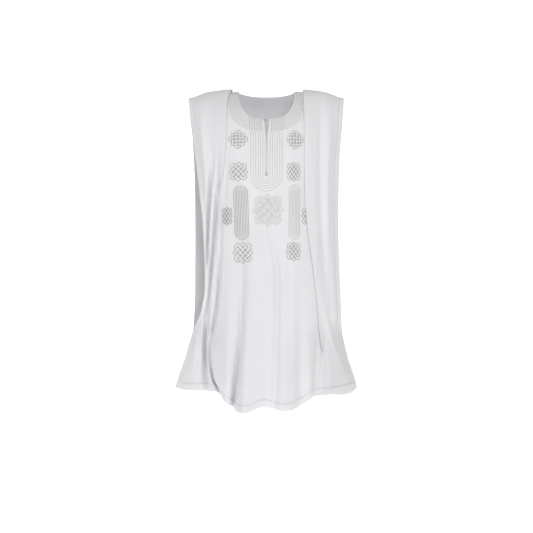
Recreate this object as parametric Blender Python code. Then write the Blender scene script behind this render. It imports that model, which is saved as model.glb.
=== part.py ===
"""Grand boubou: a wide hanging robe of two cloth panels with corded embroidery, as worn.

Metres, +Z up, the wearer facing -Y. The origin is the middle of the shoulder line.
"Drop" is a distance below the origin. "Rise" lifts cloth off the body, "sink" lets it in.
"""

import math

import bmesh
import bpy
import numpy as np
from mathutils import Vector
from mathutils.bvhtree import BVHTree

# Driving dimensions, metres
WALL = 0.0012
SEAM_GAP = 0.0003
NECK_HALF_WIDTH = 0.103
NECK_DROP_FRONT = 0.114
# drop of the neckline, its squareness, and the cloth's length for one radian of turn there
FRONT_NECK = (NECK_DROP_FRONT, 3.9, 0.250)
BACK_NECK = (0.012, 2.4, 0.130)
SHOULDER_TIP = 0.283
SHOULDER_SLOPE = 0.0234
SLIT_WIDTH = 0.021
SLIT_TAPER = 0.086
SLIT_DROP = 0.320
SIDE_SEAM_DROP = 0.872
BAND_WIDTH = 0.047
CORD_PITCH = 0.0063
CORD_RISE = 0.0013
BACKING = 0.0009
STITCH_GAP = 0.0005
CLEAR_GAP = 0.0003
EDGE_INSET = 0.0016
BAND_SQUARENESS = 20.0
BAND_SIDEWAYS = 0.80
OVAL_CORDS = 5
TURNED_SIZE = 0.58
MIDDLE_LINE = 4.0
NECK_LINES = (3.0, 5.0)
NECK_CORNER = math.radians(45.0)
PLASTRON_HALF_WIDTH = 0.063
PLASTRON_TURN_DROP = 0.316
PLASTRON_INNER = 0.0063

# The side edges of each panel, and how far it stands out at the edges and in the middle
FRONT_SECTIONS = (
    # drop, left_x, right_x, edge_depth, centre_depth, fullness
    (0.000, -0.2855, 0.2840, 0.046, 0.136, 2.2),
    (0.130, -0.2710, 0.2725, 0.058, 0.142, 2.3),
    (0.330, -0.2450, 0.2580, 0.070, 0.146, 2.4),
    (0.520, -0.2260, 0.2582, 0.072, 0.148, 2.4),
    (0.700, -0.2203, 0.2640, 0.066, 0.158, 2.4),
    (0.790, -0.2341, 0.2695, 0.046, 0.164, 2.4),
    (0.872, -0.2675, 0.2765, 0.002, 0.170, 2.4),
    (0.967, -0.2967, 0.2972, 0.002, 0.176, 2.5),
    (1.077, -0.3314, 0.3296, 0.002, 0.186, 2.6),
    (1.150, -0.3420, 0.3340, 0.002, 0.192, 2.6),
)
BACK_SECTIONS = (
    # drop, left_x, right_x, edge_depth, centre_depth, fullness
    (0.000, -0.2855, 0.2840, 0.046, 0.124, 2.2),
    (0.130, -0.2760, 0.2765, 0.062, 0.128, 2.3),
    (0.330, -0.2670, 0.2690, 0.072, 0.126, 2.4),
    (0.520, -0.2650, 0.2670, 0.074, 0.122, 2.4),
    (0.700, -0.2650, 0.2680, 0.064, 0.130, 2.4),
    (0.790, -0.2655, 0.2710, 0.044, 0.136, 2.4),
    (0.872, -0.2675, 0.2765, 0.002, 0.142, 2.3),
    (0.967, -0.2967, 0.2972, 0.002, 0.150, 2.3),
    (1.077, -0.3314, 0.3296, 0.002, 0.162, 2.3),
    (1.150, -0.3420, 0.3340, 0.002, 0.168, 2.3),
)

# Lines of the cloth that run from the shoulder to the hem; a pleat lies between its two
FRONT_LINES = (
    # drop, left pleat out, in, left neck, centre, right neck, right pleat in, out
    (0.00, -0.174, -0.150, -0.103, 0.000, 0.103, 0.1545, 0.1785),
    (0.05, -0.182, -0.158, -0.098, 0.000, 0.098, 0.1520, 0.1760),
    (0.08, -0.181, -0.157, -0.087, 0.000, 0.087, 0.1510, 0.1750),
    (0.12, -0.179, -0.155, -0.090, 0.000, 0.090, 0.1500, 0.1740),
    (0.25, -0.178, -0.154, -0.098, 0.000, 0.098, 0.1485, 0.1725),
    (0.36, -0.186, -0.160, -0.103, 0.000, 0.104, 0.1490, 0.1730),
    (0.50, -0.205, -0.168, -0.104, 0.000, 0.106, 0.1615, 0.1855),
    (0.65, -0.210, -0.173, -0.108, 0.000, 0.110, 0.1815, 0.2055),
    (0.80, -0.216, -0.178, -0.112, 0.000, 0.114, 0.1890, 0.2130),
    (0.95, -0.232, -0.182, -0.114, 0.000, 0.116, 0.1890, 0.2130),
    (1.15, -0.224, -0.160, -0.112, 0.000, 0.112, 0.1740, 0.1980),
)
BACK_LINES = (
    # drop, left pleat out, in, left neck, centre, right neck, right pleat in, out
    (0.00, -0.174, -0.150, -0.103, 0.000, 0.103, 0.1545, 0.1785),
    (0.01, -0.176, -0.152, -0.078, 0.000, 0.078, 0.1543, 0.1783),
    (0.05, -0.182, -0.158, -0.086, 0.000, 0.086, 0.1535, 0.1775),
    (0.20, -0.182, -0.156, -0.100, 0.000, 0.100, 0.1580, 0.1820),
    (0.50, -0.205, -0.170, -0.106, 0.000, 0.106, 0.1680, 0.2000),
    (0.85, -0.215, -0.170, -0.112, 0.000, 0.112, 0.1700, 0.2150),
    (1.15, -0.240, -0.180, -0.116, 0.000, 0.116, 0.1800, 0.2400),
)

# Knife pleats: the outer cloth laps inward over the middle of the panel
FRONT_LEFT_PLEAT = (
    # drop, reach, rise, sink
    (0.000, 0.0400, 0.0115, 0.000),
    (0.050, 0.0300, 0.0110, 0.001),
    (0.120, 0.0260, 0.0105, 0.003),
    (0.250, 0.0210, 0.0130, 0.009),
    (0.300, 0.0180, 0.0140, 0.011),
    (0.362, 0.0120, 0.0140, 0.012),
    (0.423, 0.0027, 0.0140, 0.012),
    (0.485, 0.0000, 0.0120, 0.011),
    (0.600, 0.0000, 0.0040, 0.008),
    (1.150, 0.0000, 0.0000, 0.000),
)
FRONT_RIGHT_PLEAT = (
    # drop, reach, rise, sink
    (0.00, 0.034, 0.0115, 0.000),
    (0.12, 0.029, 0.0095, 0.002),
    (0.25, 0.026, 0.008, 0.006),
    (0.50, 0.026, 0.009, 0.012),
    (0.65, 0.022, 0.009, 0.012),
    (0.80, 0.018, 0.008, 0.008),
    (1.00, 0.014, 0.008, 0.004),
    (1.15, 0.014, 0.008, 0.002),
)
BACK_LEFT_PLEAT = (
    # drop, reach, rise, sink
    (0.000, 0.0400, 0.0115, 0.000),
    (0.100, 0.0300, 0.010, 0.003),
    (0.250, 0.0180, 0.010, 0.004),
    (0.330, 0.0100, 0.0130, 0.005),
    (0.410, 0.0027, 0.0140, 0.005),
    (0.490, 0.0000, 0.0120, 0.005),
    (0.750, 0.0000, 0.002, 0.003),
    (1.150, 0.0000, 0.000, 0.000),
)
BACK_RIGHT_PLEAT = (
    # drop, reach, rise, sink
    (0.000, 0.0340, 0.0115, 0.000),
    (0.100, 0.0290, 0.010, 0.003),
    (0.250, 0.0200, 0.010, 0.004),
    (0.330, 0.0110, 0.0130, 0.005),
    (0.410, 0.0027, 0.0140, 0.005),
    (0.490, 0.0000, 0.0120, 0.005),
    (0.800, 0.0000, 0.002, 0.003),
    (1.150, 0.0000, 0.000, 0.000),
)
SINK_WIDTH = 0.060
RISE_FADE = 0.075
RIDGE_FADE = 0.200
# A pleat's fold turns over this part of its half width, and is laid flat from the second reach on.
FOLD_WIDTH = 0.36
LEAST_LAP = 0.006
FULL_LAP = 0.020

# Soft folds along three points each; a positive height is a ridge, a negative one a trough
FRONT_FOLDS = (
    # drop, x, then the same for the middle and low points; three heights; two widths
    ("left_sleeve_ridge", 0.04, -0.245, 0.22, -0.228, 0.40, -0.212, 0.004, 0.009, 0.004, 0.020, 0.014),
    ("left_shoulder_trough", 0.05, -0.215, 0.20, -0.206, 0.33, -0.200, -0.003, -0.007, -0.004, 0.016, 0.012),
    ("left_crease", 0.28, -0.178, 0.37, -0.188, 0.47, -0.198, -0.004, -0.011, -0.008, 0.014, 0.011),
    ("left_flank_trough", 0.34, -0.186, 0.58, -0.193, 0.86, -0.204, -0.010, -0.027, -0.020, 0.026, 0.020),
    ("left_bunch_ridge", 0.50, -0.186, 0.66, -0.191, 0.84, -0.205, 0.004, 0.011, 0.008, 0.006, 0.006),
    ("left_wing_trough", 0.84, -0.244, 0.93, -0.236, 1.06, -0.224, -0.006, -0.016, -0.010, 0.020, 0.020),
    ("middle_trough", 0.56, -0.080, 0.76, -0.088, 1.15, -0.112, -0.003, -0.013, -0.026, 0.018, 0.024),
    ("middle_ridge", 0.58, -0.050, 0.80, -0.066, 1.15, -0.078, 0.003, 0.010, 0.020, 0.022, 0.026),
    ("arch_trough", 0.74, 0.010, 0.94, 0.002, 1.15, -0.004, -0.002, -0.008, -0.016, 0.030, 0.026),
    ("right_lobe_ridge", 0.66, 0.070, 0.90, 0.066, 1.15, 0.066, 0.002, 0.008, 0.016, 0.030, 0.030),
    ("right_hem_trough", 0.82, 0.118, 0.98, 0.116, 1.15, 0.118, -0.003, -0.009, -0.012, 0.020, 0.020),
    ("lens_ridge", 0.84, 0.158, 0.97, 0.152, 1.08, 0.150, 0.003, 0.012, 0.006, 0.018, 0.018),
    ("right_wing_ridge", 0.08, 0.222, 0.45, 0.224, 0.85, 0.246, 0.004, 0.010, 0.008, 0.022, 0.018),
    ("right_wing_trough", 0.10, 0.198, 0.48, 0.206, 0.80, 0.230, -0.003, -0.007, -0.005, 0.014, 0.012),
    ("right_edge_ridge", 0.84, 0.222, 0.95, 0.252, 1.06, 0.296, 0.004, 0.010, 0.006, 0.020, 0.020),
)
BACK_FOLDS = (
    # drop, x, then the same for the middle and low points; three heights; two widths
    ("back_left_trough", 0.20, -0.120, 0.60, -0.128, 1.15, -0.150, -0.004, -0.012, -0.022, 0.024, 0.030),
    ("back_left_ridge", 0.30, -0.070, 0.70, -0.076, 1.15, -0.088, 0.003, 0.010, 0.018, 0.028, 0.032),
    ("back_middle_trough", 0.42, -0.014, 0.80, -0.010, 1.15, -0.016, -0.003, -0.010, -0.018, 0.026, 0.030),
    ("back_right_ridge", 0.34, 0.052, 0.72, 0.056, 1.15, 0.062, 0.003, 0.009, 0.016, 0.028, 0.032),
    ("back_right_trough", 0.24, 0.110, 0.64, 0.116, 1.15, 0.132, -0.004, -0.012, -0.020, 0.024, 0.028),
    ("back_wing_ridge_left", 0.12, -0.222, 0.50, -0.226, 0.84, -0.236, 0.004, 0.010, 0.006, 0.020, 0.018),
    ("back_wing_ridge_right", 0.12, 0.226, 0.50, 0.230, 0.84, 0.240, 0.004, 0.010, 0.006, 0.020, 0.018),
)
FOLD_FADE = 0.07

# The left wing hangs back from the middle of the front
WING_STEP = (
    # drop, x, setback
    (0.00, -0.200, 0.000),
    (0.80, -0.200, 0.000),
    (0.88, -0.204, 0.026),
    (0.96, -0.198, 0.050),
    (1.06, -0.182, 0.064),
    (1.15, -0.172, 0.068),
)
WING_STEP_WIDTH = 0.036

FRONT_HEM = (
    # x, drop
    (-0.3380, 1.0780),
    (-0.2900, 1.0853),
    (-0.2126, 1.0830),
    (-0.1780, 1.0840),
    (-0.1485, 1.1120),
    (-0.0936, 1.1450),
    (-0.0582, 1.1412),
    (-0.0268, 1.1290),
    (-0.0035, 1.1260),
    (0.0260, 1.1330),
    (0.0503, 1.1370),
    (0.0839, 1.1360),
    (0.1158, 1.1238),
    (0.1420, 1.1086),
    (0.1700, 1.0920),
    (0.2665, 1.0880),
    (0.3100, 1.0840),
    (0.3380, 1.0730),
)
BACK_HEM = (
    # x, drop
    (-0.3380, 1.0780),
    (-0.2600, 1.0880),
    (-0.1500, 1.1080),
    (0.0000, 1.1160),
    (0.1500, 1.1160),
    (0.2700, 1.1140),
    (0.3100, 1.1020),
    (0.3380, 1.0730),
)

# Where the columns of each panel lie between its lines, as fractions of each span
PLEAT_SPAN = (0.16, 0.25, 0.34, 0.50, 0.66, 0.75, 0.84, 1.0)
FRONT_SPANS = (6, PLEAT_SPAN, 4, 6, 6, 4, PLEAT_SPAN, 6)
BACK_SPANS = (4, PLEAT_SPAN, 3, 4, 4, 3, PLEAT_SPAN, 4)
# rows over the shoulder, rows below it, and the row where the neck ends
FRONT_ROWS = (8, 14, 4)
BACK_ROWS = (5, 12, 1)

# Embroidered knots: middle x, middle drop, width, height, turned 45 degrees or not
KNOTS = (
    ("knot_centre", 0.0056, 0.4400, 0.1110, 0.1155, True),
    ("knot_upper_left", -0.1005, 0.1880, 0.0700, 0.0670, False),
    ("knot_upper_right", 0.1010, 0.1900, 0.0600, 0.0690, False),
    ("knot_second_left", -0.0985, 0.3030, 0.0680, 0.0715, True),
    ("knot_second_right", 0.0960, 0.3040, 0.0520, 0.0715, True),
    ("knot_side_left", -0.1400, 0.4590, 0.0420, 0.0710, True),
    ("knot_side_right", 0.1490, 0.4590, 0.0530, 0.0710, True),
    ("knot_lower_left", -0.0830, 0.5885, 0.0720, 0.0790, True),
    ("knot_lower_right", 0.0955, 0.5840, 0.0530, 0.0710, True),
)
KNOT_CHART = (
    ".##.##.",
    "#######",
    "##.#.##",
    ".#####.",
    "##.#.##",
    "#######",
    ".##.##.",
)
OVALS = (
    # name, top x, bottom x, top drop, bottom drop, half width
    ("oval_left", -0.0925, -0.0855, 0.3480, 0.5470, 0.0270),
    ("oval_right", 0.0985, 0.0980, 0.3480, 0.5450, 0.0210),
)

CLOTH_COLOUR = (0.80, 0.80, 0.82, 1.0)
THREAD_COLOUR = (0.56, 0.57, 0.60, 1.0)


def smooth_step(value):
    """0 below 0, 1 above 1 and a soft ramp between."""
    part = np.clip(value, 0.0, 1.0)
    return part * part * (3.0 - 2.0 * part)


def smooth_curve(places, values):
    """A smooth curve through the given values that never passes beyond them."""
    places = np.asarray(places, dtype=float)
    values = np.asarray(values, dtype=float)
    gaps = np.diff(places)
    rates = np.diff(values) / gaps
    slopes = np.zeros(len(places))
    slopes[0] = rates[0]
    slopes[-1] = rates[-1]
    for i in range(1, len(places) - 1):
        if rates[i - 1] * rates[i] > 0.0:
            slopes[i] = 2.0 * rates[i - 1] * rates[i] / (rates[i - 1] + rates[i])

    def read(place):
        place = np.clip(place, places[0], places[-1])
        i = np.clip(np.searchsorted(places, place) - 1, 0, len(gaps) - 1)
        t = (place - places[i]) / gaps[i]
        blend = t * t * (3.0 - 2.0 * t)
        lift = gaps[i] * (slopes[i] * t * (1.0 - t) ** 2 - slopes[i + 1] * t * t * (1.0 - t))
        return values[i] + (values[i + 1] - values[i]) * blend + lift

    return read


def table_curves(table):
    """One smooth curve for each column of a table after the first."""
    rows = np.array(table)
    return [smooth_curve(rows[:, 0], rows[:, k]) for k in range(1, rows.shape[1])]


def ridge_drop(x):
    """The slope of the shoulder line from the neck to its tip."""
    reach = np.clip((np.abs(x) - NECK_HALF_WIDTH) / (SHOULDER_TIP - NECK_HALF_WIDTH), 0.0, 1.2)
    return SHOULDER_SLOPE * reach ** 1.5


class Pleat:
    """A knife pleat between two lines of a panel; side is 1 for the right, -1 for the left."""

    def __init__(self, side, table):
        self.side = side
        self.reach, self.rise, self.sink = table_curves(table)

    def shift(self, x, drop, middle, half):
        """How far the pleat carries a point sideways and outward."""
        reach = self.reach(drop)
        along = (x - middle) * self.side / half
        fold = np.clip(along, -1.0, 1.0)
        swing = (reach + 0.5 * half) * smooth_step(reach / LEAST_LAP)
        sideways = -swing * np.sin(math.pi * fold) * self.side
        first = smooth_step((fold + 0.5) / FOLD_WIDTH + 0.5)
        second = smooth_step((fold - 0.5) / FOLD_WIDTH + 0.5)
        lapped = smooth_step(reach / FULL_LAP)
        layers = (first + second) * lapped + 2.0 * smooth_step(0.5 * (fold + 1.0)) * (1.0 - lapped)
        beyond = (along * half - reach - 0.5 * half) / RISE_FADE
        inside = (-1.0 - along) * half / SINK_WIDTH
        rise = self.rise(drop) * 0.5 * layers * (1.0 - smooth_step(beyond))
        sink = self.sink(drop) * (1.0 - 0.5 * layers) * (1.0 - smooth_step(inside))
        return sideways, rise - sink


class Panel:
    """A cloth panel as a surface over (column, drop); facing is -1 in front, 1 behind."""

    def __init__(self, facing, sections, lines, pleats, folds, hem, neck, caps, step=None):
        self.facing = facing
        self.left_x, self.right_x, self.edge, self.centre, self.fullness = table_curves(sections)
        self.lines = [self.left_x] + table_curves(lines) + [self.right_x]
        self.left_pleat = Pleat(-1, pleats[0])
        self.right_pleat = Pleat(1, pleats[1])
        self.folds = [self.fold_curves(*row[1:]) for row in folds]
        self.hem = smooth_curve([row[0] for row in hem], [row[1] for row in hem])
        self.cap_middle, self.cap_edge = caps
        self.neck_turn = math.acos(1.0 - neck[0] / self.cap_middle)
        self.neck_square, self.neck_rate = neck[1:]
        self.step = table_curves(step) if step else None

    @staticmethod
    def fold_curves(top, top_x, middle, middle_x, low, low_x, high_0, high_1, high_2, wide_0, wide_1):
        drops = [top, middle, low]
        ends = [0.0] if low < 1.1 else [high_2]
        heights = smooth_curve(
            [top - FOLD_FADE] + drops + [low + FOLD_FADE], [0.0, high_0, high_1, high_2] + ends
        )
        widths = smooth_curve([top, low], [wide_0, wide_1])
        return smooth_curve(drops, [top_x, middle_x, low_x]), heights, widths

    def cloth_x(self, column, drop):
        """Where a column lies across the panel, before any pleat."""
        x = 0.0
        for k, line in enumerate(self.lines):
            x = x + np.clip(1.0 - np.abs(column - k), 0.0, 1.0) * line(drop)
        return x

    def column_at(self, x, drop):
        """The column that passes through a place, before any pleat."""
        x = np.asarray(x, dtype=float)
        column = np.zeros(np.broadcast(x, drop).shape)
        for k in range(len(self.lines) - 1):
            first = self.lines[k](drop)
            second = self.lines[k + 1](drop)
            part = (x - first) / (second - first)
            column = np.where((part > 0.0) | (k == 0), k + np.clip(part, 0.0, 1.0), column)
        return column

    def cap(self, x):
        """The height over which the cloth turns from the shoulder line to hanging straight."""
        across = np.abs(x) / SHOULDER_TIP
        return self.cap_edge + (self.cap_middle - self.cap_edge) * (1.0 - np.clip(across, 0, 1) ** 2)

    def turn(self, x, drop):
        """The angle turned over the shoulder, from 0 on the ridge to a right angle."""
        return np.arccos(1.0 - np.clip((drop - ridge_drop(x)) / self.cap(x), 0.0, 1.0))

    def drop_of_turn(self, x, turn):
        """The drop at which a place across the shoulders has turned by an angle."""
        return ridge_drop(x) + self.cap(x) * (1.0 - np.cos(turn))

    def round_neck(self, bearing, out):
        """Across and turn of a place round the neck, at a distance out from the neckline."""
        across = abs(math.sin(bearing)) ** (2.0 / self.neck_square)
        square = self.neck_square + BAND_SQUARENESS * out
        x = math.copysign((NECK_HALF_WIDTH + BAND_SIDEWAYS * out) * across, bearing)
        turn = max(1.0 - across ** square, 0.0) ** (1.0 / square)
        return x, (self.neck_turn + out / self.neck_rate) * turn

    def neck_spot(self, bearing, out):
        """Across and drop of a place round the neck."""
        x, turn = self.round_neck(bearing, out)
        return x, float(self.drop_of_turn(x, turn))

    def even_bearings(self, out, first, last, steps):
        """Bearings round the neck that part the cloth there into even steps."""
        fine = [first + (last - first) * k / 400 for k in range(401)]
        spots = [self.neck_spot(bearing, out) for bearing in fine]
        points = [self.point(self.column_at(x, drop), drop) for x, drop in spots]
        lengths = [0.0]
        for k in range(400):
            lengths.append(lengths[-1] + float(np.linalg.norm(points[k + 1] - points[k])))
        return np.interp([lengths[-1] * k / steps for k in range(steps + 1)], lengths, fine)

    def depth(self, x, drop):
        """How far the cloth stands out, without its pleats."""
        left = self.left_x(drop)
        right = self.right_x(drop)
        across = np.clip(np.abs(2.0 * (x - left) / (right - left) - 1.0), 0.0, 1.0)
        out = self.edge(drop) + (self.centre(drop) - self.edge(drop)) * (1.0 - across ** self.fullness(drop))
        for middle, height, width in self.folds:
            bump = height(drop) * np.exp(-(((x - middle(drop)) / width(drop)) ** 2))
            out = out + bump * (1.0 - across ** 6)
        if self.step:
            place = (self.step[0](drop) - x) / WING_STEP_WIDTH + 0.5
            out = out - self.step[1](drop) * smooth_step(place) * (1.0 - across ** 4)
        return out

    def point(self, column, drop):
        """The outer face of the cloth."""
        x = self.cloth_x(column, drop)
        lift = 0.0
        moved = x
        for pleat, k in ((self.left_pleat, 1), (self.right_pleat, 6)):
            first = self.lines[k](drop)
            second = self.lines[k + 1](drop)
            sideways, rise = pleat.shift(x, drop, 0.5 * (first + second), 0.5 * (second - first))
            moved = moved + sideways
            lift = lift + rise
        below = 1.0 - smooth_step((drop - ridge_drop(x)) / RIDGE_FADE)
        drop = drop + (ridge_drop(moved) - ridge_drop(x)) * below
        turn = self.turn(moved, drop)
        y = self.facing * (self.depth(moved, drop) + lift) * np.sin(turn)
        z = lift * np.cos(turn) - drop
        return np.stack(np.broadcast_arrays(moved, y, z), axis=-1)

    def way_out(self, column, drop):
        """The way out of the cloth at a place."""
        here = Vector(self.point(column, drop))
        across = Vector(self.point(column + 0.01, drop)) - here
        down = Vector(self.point(column, drop + 0.002)) - here
        return across.cross(down).normalized() * self.facing

    def spots(self, columns, ways, notch):
        """Across and drop of a grid: way 0 at the top edge, 1 below the shoulder, 2 at the hem.

        The neck takes out the first rows, up to the notch row, between the neck lines.
        """
        inside = [c for c in columns if NECK_LINES[0] <= c <= NECK_LINES[1]]
        side = 0.5 * math.pi
        bearings = dict(zip(inside, self.even_bearings(0.0, -NECK_CORNER, NECK_CORNER, len(inside) - 1)))
        flank = self.even_bearings(0.0, -side, -NECK_CORNER, notch)
        grid = []
        for column in columns:
            hem = float(self.hem(self.cloth_x(column, 1.1)))
            x = float(self.cloth_x(column, 0.0))
            below = float(self.drop_of_turn(x, side))
            line = []
            for j, way in enumerate(ways):
                drop = below + (hem - below) * max(way - 1.0, 0.0)
                if way < 1.0 and column in bearings and j <= notch:
                    bearing = bearings[column]
                    if column in NECK_LINES:
                        bearing = math.copysign(flank[j], bearing)
                    x, drop = self.neck_spot(bearing, 0.0)
                elif way < 1.0 and column in bearings:
                    start_x, start_turn = self.round_neck(bearings[column], 0.0)
                    part = (way - ways[notch]) / (1.0 - ways[notch])
                    turn = start_turn + (side - start_turn) * part
                    drop = float(self.drop_of_turn(start_x, turn))
                    x = start_x + (float(self.cloth_x(column, drop)) - start_x) * float(smooth_step(part))
                    drop = float(self.drop_of_turn(x, turn))
                elif way < 1.0:
                    for _ in range(4):
                        drop = float(self.drop_of_turn(x, side * way))
                        x = float(self.cloth_x(column, drop))
                    drop = float(self.drop_of_turn(x, side * way))
                else:
                    x = float(self.cloth_x(column, drop))
                line.append((x, drop))
            grid.append(line)
        return grid


FRONT = Panel(
    -1, FRONT_SECTIONS, FRONT_LINES, (FRONT_LEFT_PLEAT, FRONT_RIGHT_PLEAT),
    FRONT_FOLDS, FRONT_HEM, FRONT_NECK, (0.300, 0.100), WING_STEP,
)
BACK = Panel(
    1, BACK_SECTIONS, BACK_LINES, (BACK_LEFT_PLEAT, BACK_RIGHT_PLEAT),
    BACK_FOLDS, BACK_HEM, BACK_NECK, (0.170, 0.100),
)


def clear_scene():
    """Removes what the scene holds."""
    for thing in list(bpy.data.objects):
        bpy.data.objects.remove(thing, do_unlink=True)


def make_material(name, colour, roughness):
    """A plain material with one colour and roughness."""
    material = bpy.data.materials.new(name)
    material.use_nodes = True
    shader = material.node_tree.nodes["Principled BSDF"]
    shader.inputs["Base Color"].default_value = colour
    shader.inputs["Roughness"].default_value = roughness
    shader.inputs["Metallic"].default_value = 0.0
    return material


def span_columns(spans):
    """The places of a panel's columns between its lines."""
    columns = [0.0]
    for k, span in enumerate(spans):
        parts = span if isinstance(span, tuple) else [(i + 1) / span for i in range(span)]
        columns += [k + part for part in parts]
    return columns


def slit_half_width(drop):
    """Half the opening of the front slit."""
    open_part = 1.0 - (drop - NECK_DROP_FRONT) / SLIT_TAPER
    return 0.5 * max(SLIT_WIDTH * open_part, 0.0006)


def make_shell(name, inner, outer, cells, colour, roughness):
    """A closed wall between two sheets of points that share their cells."""
    shape = bmesh.new()
    low = [shape.verts.new(point) for point in inner]
    high = [shape.verts.new(point) for point in outer]
    edges = {(cell[k - 1], cell[k]) for cell in cells for k in range(len(cell))}
    for cell in cells:
        shape.faces.new([high[k] for k in cell])
        shape.faces.new([low[k] for k in reversed(cell)])
    for first, second in sorted(edges):
        if (second, first) not in edges:
            shape.faces.new((high[second], high[first], low[first], low[second]))
    bmesh.ops.recalc_face_normals(shape, faces=shape.faces)
    bmesh.ops.triangulate(shape, faces=shape.faces, quad_method="FIXED")
    mesh = bpy.data.meshes.new(name)
    shape.to_mesh(mesh)
    shape.free()
    mesh.materials.append(make_material(name + "_finish", colour, roughness))
    mesh.shade_smooth()
    mesh.set_sharp_from_angle(angle=math.radians(50.0))
    thing = bpy.data.objects.new(name, mesh)
    bpy.context.scene.collection.objects.link(thing)


def make_panel(name, panel, spans, rows):
    """A cloth panel: its outer face as a grid, and its wall inside that."""
    columns = span_columns(spans)
    upper, lower, notch = rows
    ways = [i / upper for i in range(upper)] + [1.0 + i / lower for i in range(lower + 1)]
    middle = columns.index(MIDDLE_LINE)
    in_neck = [NECK_LINES[0] < column < NECK_LINES[1] for column in columns]
    outer = []
    on_ridge = set()
    on_side = set()
    made = {}
    for i, line in enumerate(panel.spots(columns, ways, notch)):
        across, drops = np.array(line).T
        points = panel.point(panel.column_at(across, drops), drops)
        for j, (x, y, z) in enumerate(points):
            if in_neck[i] and j < notch:
                continue
            made[i, j, -1] = made[i, j, 1] = len(outer)
            if abs(y) < 0.5 * SEAM_GAP:
                y = panel.facing * 0.5 * SEAM_GAP
                on_ridge.add(len(outer))
            if i in (0, len(columns) - 1) and drops[j] > SIDE_SEAM_DROP - 0.001:
                y = panel.facing * (WALL + 0.5 * SEAM_GAP)
                on_side.add(len(outer))
            if panel is FRONT and i == middle and drops[j] < SLIT_DROP:
                half = slit_half_width(drops[j])
                made[i, j, 1] = len(outer) + 1
                outer.append(Vector((-half, y, z)))
                x = half
            outer.append(Vector((x, y, z)))
    cells = []
    for i in range(len(columns) - 1):
        for j in range(notch if in_neck[i] or in_neck[i + 1] else 0, len(ways) - 1):
            cell = (made[i, j, 1], made[i, j + 1, 1], made[i + 1, j + 1, -1], made[i + 1, j, -1])
            cells += split_cell(cell if panel.facing < 0 else cell[::-1])
    face = bmesh.new()
    corners = [face.verts.new(point) for point in outer]
    for cell in cells:
        face.faces.new([corners[k] for k in cell])
    face.normal_update()
    inner = []
    for k, corner in enumerate(corners):
        way_in = corner.normal.copy()
        if k in on_ridge:
            way_in.y = 0.0
            way_in.normalize()
        point = corner.co - way_in * WALL
        if k in on_side:
            point = Vector((corner.co.x, panel.facing * 0.5 * SEAM_GAP, corner.co.z))
        inner.append(point)
    tree = BVHTree.FromBMesh(face)
    face.free()
    make_shell(name, inner, outer, cells, CLOTH_COLOUR, 0.62)
    return tree


def split_cell(cell):
    """A ring of four as two triangles."""
    return [(cell[0], cell[1], cell[2]), (cell[0], cell[2], cell[3])]


def lay_on(panel, tree, x, drop):
    """A point of the panel's own facets, and the way out of the cloth there."""
    column = panel.column_at(x, drop)
    here = Vector(panel.point(column, drop))
    return tree.find_nearest(here)[0], panel.way_out(column, drop)


def seat(places, cells, tree):
    """How far each point is lifted so that every cell between the points clears the cloth."""
    lifts = [STITCH_GAP] * len(places)
    lines = ((0, 1), (1, 2), (2, 3), (3, 0), (0, 2), (1, 3))
    for _ in range(24):
        worst = 0.0
        for cell in cells:
            points = [places[k][0] + places[k][1] * lifts[k] for k in cell]
            samples = [points[a].lerp(points[b], part) for a, b in lines for part in (0.0, 0.3, 0.5, 0.7)]
            short = 0.0
            for sample in samples:
                foot, facet_out = tree.find_nearest(sample)[:2]
                if facet_out.dot(places[cell[0]][1]) > 0.3:
                    short = max(short, CLEAR_GAP - (sample - foot).dot(facet_out))
            worst = max(worst, short)
            for k in cell:
                lifts[k] += 0.6 * short
        for cell in cells:
            most = max(lifts[k] for k in cell)
            for k in cell:
                lifts[k] = max(lifts[k], most - 0.5 * BACKING)
        if worst < 0.00002:
            break
    return lifts


def make_patch(name, panel, tree, spots, cells, heights, seam=False):
    """A closed raised patch on a panel: spots are (x, drop), cells are rings of four spots."""
    places = [lay_on(panel, tree, x, drop) for x, drop in spots]
    lifts = seat(places, cells, tree)
    levels = ([], [])
    for k, (place, out) in enumerate(places):
        for level, height in ((0, lifts[k]), (1, lifts[k] + heights[k])):
            point = place + out * height
            if seam and abs(place.y) < SEAM_GAP:
                point.y = panel.facing * 0.5 * SEAM_GAP
            levels[level].append(point)
    make_shell(name, levels[0], levels[1], cells, THREAD_COLOUR, 0.45)


def grid_cells(rows, columns):
    """Rings of four over a grid of points kept row after row."""
    cells = []
    for i in range(rows - 1):
        for j in range(columns - 1):
            first = i * columns + j
            cells.append((first, first + 1, first + 1 + columns, first + columns))
    return cells


def cord_heights(cords, rows):
    """Heights over rows of cords: low between them and high along each."""
    return [BACKING + CORD_RISE * (k % 2) for _ in range(rows) for k in range(2 * cords + 1)]


def make_neck_band(name, panel, tree, first, last, steps):
    """Rings of cord round the neck from one bearing to another, 0 at the middle."""
    cords = round(BAND_WIDTH / CORD_PITCH)
    spots = []
    for bearing in panel.even_bearings(0.5 * BAND_WIDTH, first, last, steps):
        for k in range(2 * cords + 1):
            out = EDGE_INSET + (BAND_WIDTH - EDGE_INSET) * k / (2 * cords)
            spots.append(panel.neck_spot(bearing, out))
    cells = grid_cells(steps + 1, 2 * cords + 1)
    return make_patch(name, panel, tree, spots, cells, cord_heights(cords, steps + 1), True)


def plastron_top(x):
    """Just below the outer edge of the neck band, at a distance from the middle."""
    power = FRONT.neck_square + BAND_SQUARENESS * BAND_WIDTH
    across = (x / (NECK_HALF_WIDTH + BAND_SIDEWAYS * BAND_WIDTH)) ** power
    turn = (FRONT.neck_turn + BAND_WIDTH / FRONT.neck_rate) * (1.0 - across) ** (1.0 / power)
    return float(FRONT.drop_of_turn(x, turn)) + EDGE_INSET


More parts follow.
